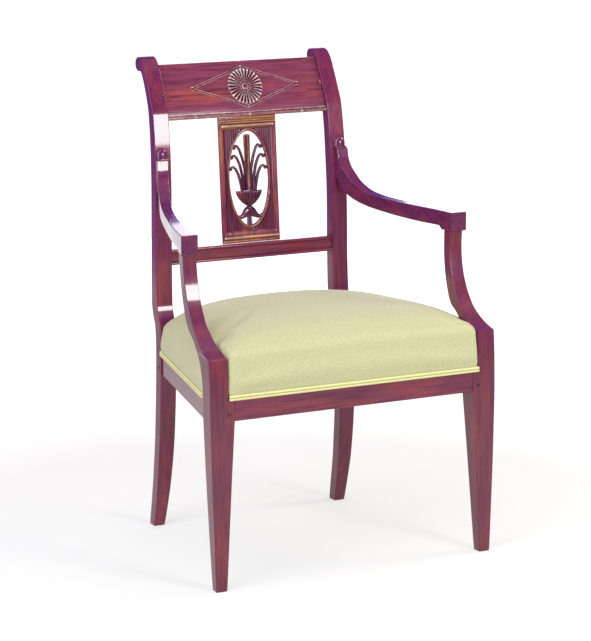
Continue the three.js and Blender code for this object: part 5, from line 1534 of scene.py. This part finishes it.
piping_cloth = woven("piping_cloth", "cfcb88", "ece8ac", pitch=0.0009, sheen=0.2)
side_start, side_end = float(leg_back_at(PIPING_LOW)) + 2 * FIT, float(post_front(PIPING_LOW)) - 2 * FIT
front_half, back_half = SEAT_HALF - BLOCK_WIDTH - FIT, float(post_inner(PIPING_LOW)) - 2 * FIT
PIPING_OUT = FIT + PIPING_RADIUS
front_line, back_line = FRONT_RAIL_SET - PIPING_OUT, BACK_RAIL_BACK + PIPING_OUT
piping_lines = {
    "front": ([-front_half, front_line], [front_half, front_line]),
    "back": ([-back_half, back_line], [back_half, back_line]),
    "right": [[side_rail_outer(y) + PIPING_OUT, y] for y in (side_start, side_end)],
}
piping_lines["left"] = tuple([-x, y] for x, y in piping_lines["right"])
cords = []
for place, line in piping_lines.items():
    cords.append(raw_object(f"double_piping_{place}", double_cord(*line)))
    dress(cords[-1], piping_cloth, "piping_cloth", f"piping_{place}")
# Painted shade on the piping where it meets the cover.
mark_depths(cords, reach=4, beside=[cover])

# %% [markdown]
# ## Underside
# Under the cover lie the horsehair, a sheet of hessian, and seven straps of woven webbing that pass
# over and under each other like a plain weave.

# %% Webbing
STRAP_WIDTH, STRAP_THICK, STRAP_LIFT = 50, 1.2, 1.3
STRAP_FLOOR = RAIL_TOP + 0.9
STRAP_MIDDLE = STRAP_FLOOR + STRAP_LIFT + 0.15
inner_half = float(post_inner(RAIL_TOP))
long_places = [share * inner_half for share in (-0.73, -0.243, 0.243, 0.73)]
cross_places = [share * POST_LINE for share in (0.273, 0.521, 0.768)]


def strap(start, end, crossings, first_over, place):
    """A strap from start to end along X, whose height swings over and under at the crossings."""
    rows = [[start, STRAP_FLOOR]] + [
        [crossing, STRAP_MIDDLE + (STRAP_LIFT if (k + first_over) % 2 else -STRAP_LIFT)]
        for k, crossing in enumerate(crossings)
    ] + [[end, STRAP_FLOOR]]
    x = np.linspace(start, end, 140)
    z = smooth(rows)(x)
    across = np.linspace(-1, 1, 15) * STRAP_WIDTH / 2
    top = places(x[:, None], place + across, z[:, None] + STRAP_THICK / 2)
    low = top[:, ::-1] - [0, 0, STRAP_THICK]
    return np.concatenate([top, low], 1)


webbing_cloth = woven("webbing", "7d6a48", "a8956c", pitch=0.0022, rough=0.9, sheen=0.1, depth=0.0006)


def webbing_strap(name, rings):
    """A strap as a sheet in the webbing cloth, in place of the CAD webbing that it stands for."""
    strap_object = raw_object(name, [skin(rings)])
    dress(strap_object, webbing_cloth, "jute", name.replace("strap", "webbing"))


STRAP_SET = 5
strap_front, strap_back = FRONT_RAIL_SET + STRAP_SET, BACK_RAIL_BACK - STRAP_SET
for k, place in enumerate(long_places):
    rings = strap(strap_front, strap_back, cross_places, k, -place)
    rings = np.stack([-rings[..., 1], rings[..., 0], rings[..., 2]], -1)
    webbing_strap(f"strap_long_{k + 1}", rings)
for k, place in enumerate(cross_places):
    half = float(side_rail_outer(place + STRAP_WIDTH / 2)) - STRAP_SET
    rings = strap(-half, half, long_places, k + 1, place)
    webbing_strap(f"strap_cross_{k + 1}", rings)

# %% Hessian and stuffing
HESSIAN_BOTTOM = STRAP_MIDDLE + STRAP_LIFT + STRAP_THICK / 2 + FIT
HESSIAN_SET, HESSIAN_THICK = 4, 1
front_corner, back_corner = LEG_BACK_LINE + HESSIAN_SET, POST_LINE - HESSIAN_SET
hessian_half = np.array([
    [LEG_INSIDE, FRONT_RAIL_SET + HESSIAN_SET], [LEG_INSIDE, front_corner],
    [side_rail_outer(front_corner), front_corner], [side_rail_outer(back_corner), back_corner],
    [inner_half, back_corner], [inner_half, BACK_RAIL_BACK - HESSIAN_SET],
]) - [HESSIAN_SET, 0]
outline = np.concatenate([hessian_half, hessian_half[::-1] * [-1, 1]])
layers = [[[x, y, HESSIAN_BOTTOM + lift] for x, y in outline] for lift in (0, HESSIAN_THICK)]
hessian = raw_object("hessian_cloth", [skin(np.array(layers))])
jute = woven("hessian", "8f7a55", "b7a27a", pitch=0.0016, rough=0.95, sheen=0.1, depth=0.0004)
dress(hessian, jute, "jute", "hessian")

PAD_MARGIN, PAD_SQUARE = COVER_THICK + 6, 9
pad_floor = HESSIAN_BOTTOM + HESSIAN_THICK + FIT
stuffing = notched_block("horsehair_pad", PAD_MARGIN, PAD_MARGIN, pad_floor, PAD_SQUARE)
press(stuffing)
hair = woven("horsehair", "1d1512", "4a3a30", pitch=0.003, rough=0.95, sheen=0.0, depth=0.001)
dress(stuffing, hair, "horsehair", "stuffing")

# %% [markdown]
# ## Light and background
# The chair was photographed in a white studio. The key light stands a little to the right of the
# camera and draws the bright bands on the left post and support. A wide window light and the room
# fill the left side, a warm light comes from the right, and a low one behind the chair whitens the
# left arm. The wall is white for the camera, and a dim violet in the polish.

# %% Lights
LIT_PLACE = np.array([0, 0, 0.45])


def area_light(name, turn, rise, distance, size, power, tint=(1, 1, 1)):
    """A square soft light that faces the chair from a turn about it and a rise above it."""
    data = bpy.data.lights.new(name, "AREA")
    data.shape, data.size, data.energy, data.color = "SQUARE", size, power, tint
    light = bpy.data.objects.new(name, data)
    bpy.context.scene.collection.objects.link(light)
    turn, rise = math.radians(turn), math.radians(rise)
    light.location = LIT_PLACE + distance * outward(turn, rise)
    light.rotation_euler = (math.pi / 2 - rise, 0, turn)


area_light("key", 19, 19, 2.6, 0.7, 30, (0.93, 1.0, 0.97))
area_light("window", -50, 50, 3.2, 2.4, 26, (0.96, 0.95, 1.0))
area_light("overhead", 0, 86, 2.3, 2.2, 5)
area_light("room", -68, 20, 3.0, 2.0, 44, (0.97, 0.96, 0.98))
area_light("right", 80, 38, 2.4, 0.7, 18, (1.0, 0.84, 0.66))
area_light("back_wall", 152, 3.5, 3.2, 1.3, 12)

# %% Walls
world = bpy.data.worlds.new("studio")
bpy.context.scene.world = world
walls = Recipe(world, "Background")
rays = walls.node("LightPath").outputs
wall = (0.5, 0.49, 0.52, 1)
for ray, shade in (
    ("Is Glossy Ray", (0.12, 0.07, 0.45, 1)), ("Is Camera Ray", grey(1)), ("Is Transmission Ray", grey(1)),
):
    wall = walls.blend(rays[ray], wall, shade)
walls.finish(Color=wall, Strength=1.0)

# %% [markdown]
# ## Floor
# The floor is a matt white that glows a little, so that it runs into the wall and keeps a soft
# shadow. The polish mirrors another floor: darker away from the chair, deep blue far out on the left
# for the outer face of the post, and white far behind on the right for the arm.

# %% Floor
FLOOR_HALF = 8
floor_corners = [(x * FLOOR_HALF, y * FLOOR_HALF, 0) for x, y in ((-1, -1), (1, -1), (1, 1), (-1, 1))]
floor_mesh = bpy.data.meshes.new("floor")
floor_mesh.from_pydata(floor_corners, [], [(0, 1, 2, 3)])
floor = bpy.data.objects.new("floor", floor_mesh)
bpy.context.scene.collection.objects.link(floor)

paint = Recipe(bpy.data.materials.new("floor_paint"))
place = paint.place()
rays = paint.node("LightPath").outputs
from_chair = paint.node("VectorMath", {0: place}, operation="LENGTH").outputs["Value"]
across, behind = paint.node("SeparateXYZ", {0: place}).outputs[:2]
glow = paint.between(from_chair, 0.7, 1.8, 0.56, 1.0)
glow = paint.node("Mix", {0: rays["Is Camera Ray"], 2: 0.35, 3: glow}, data_type="FLOAT").outputs[0]
zones = (
    paint.between(from_chair, 1.2, 2.2),
    paint.product(paint.between(from_chair, 1.4, 2.9), paint.between(across, -0.85, -1.15)),
    paint.product(paint.between(across, -1.2, -0.9), paint.between(behind, 1.8, 2.6)),
)
shades = {
    "Base_Color": (grey(0.4), grey(0.33), grey(0.2), grey(0.0), grey(0.4)),
    "Emission_Color": (grey(1), grey(0.83), grey(0.6), (0.3, 0.18, 1.2, 1), grey(2.6)),
}
for socket, (plain, mirrored_shade, *zone_shades) in shades.items():
    for zone, shade in zip(zones, zone_shades):
        mirrored_shade = paint.blend(zone, mirrored_shade, shade)
    paint.finish(**{socket: paint.blend(rays["Is Glossy Ray"], plain, mirrored_shade)})
paint.finish(Emission_Strength=glow, Roughness=0.9, Specular_IOR_Level=0.0)
floor_mesh.materials.append(paint.owner)

bpy.context.scene.view_settings.view_transform = "Standard"
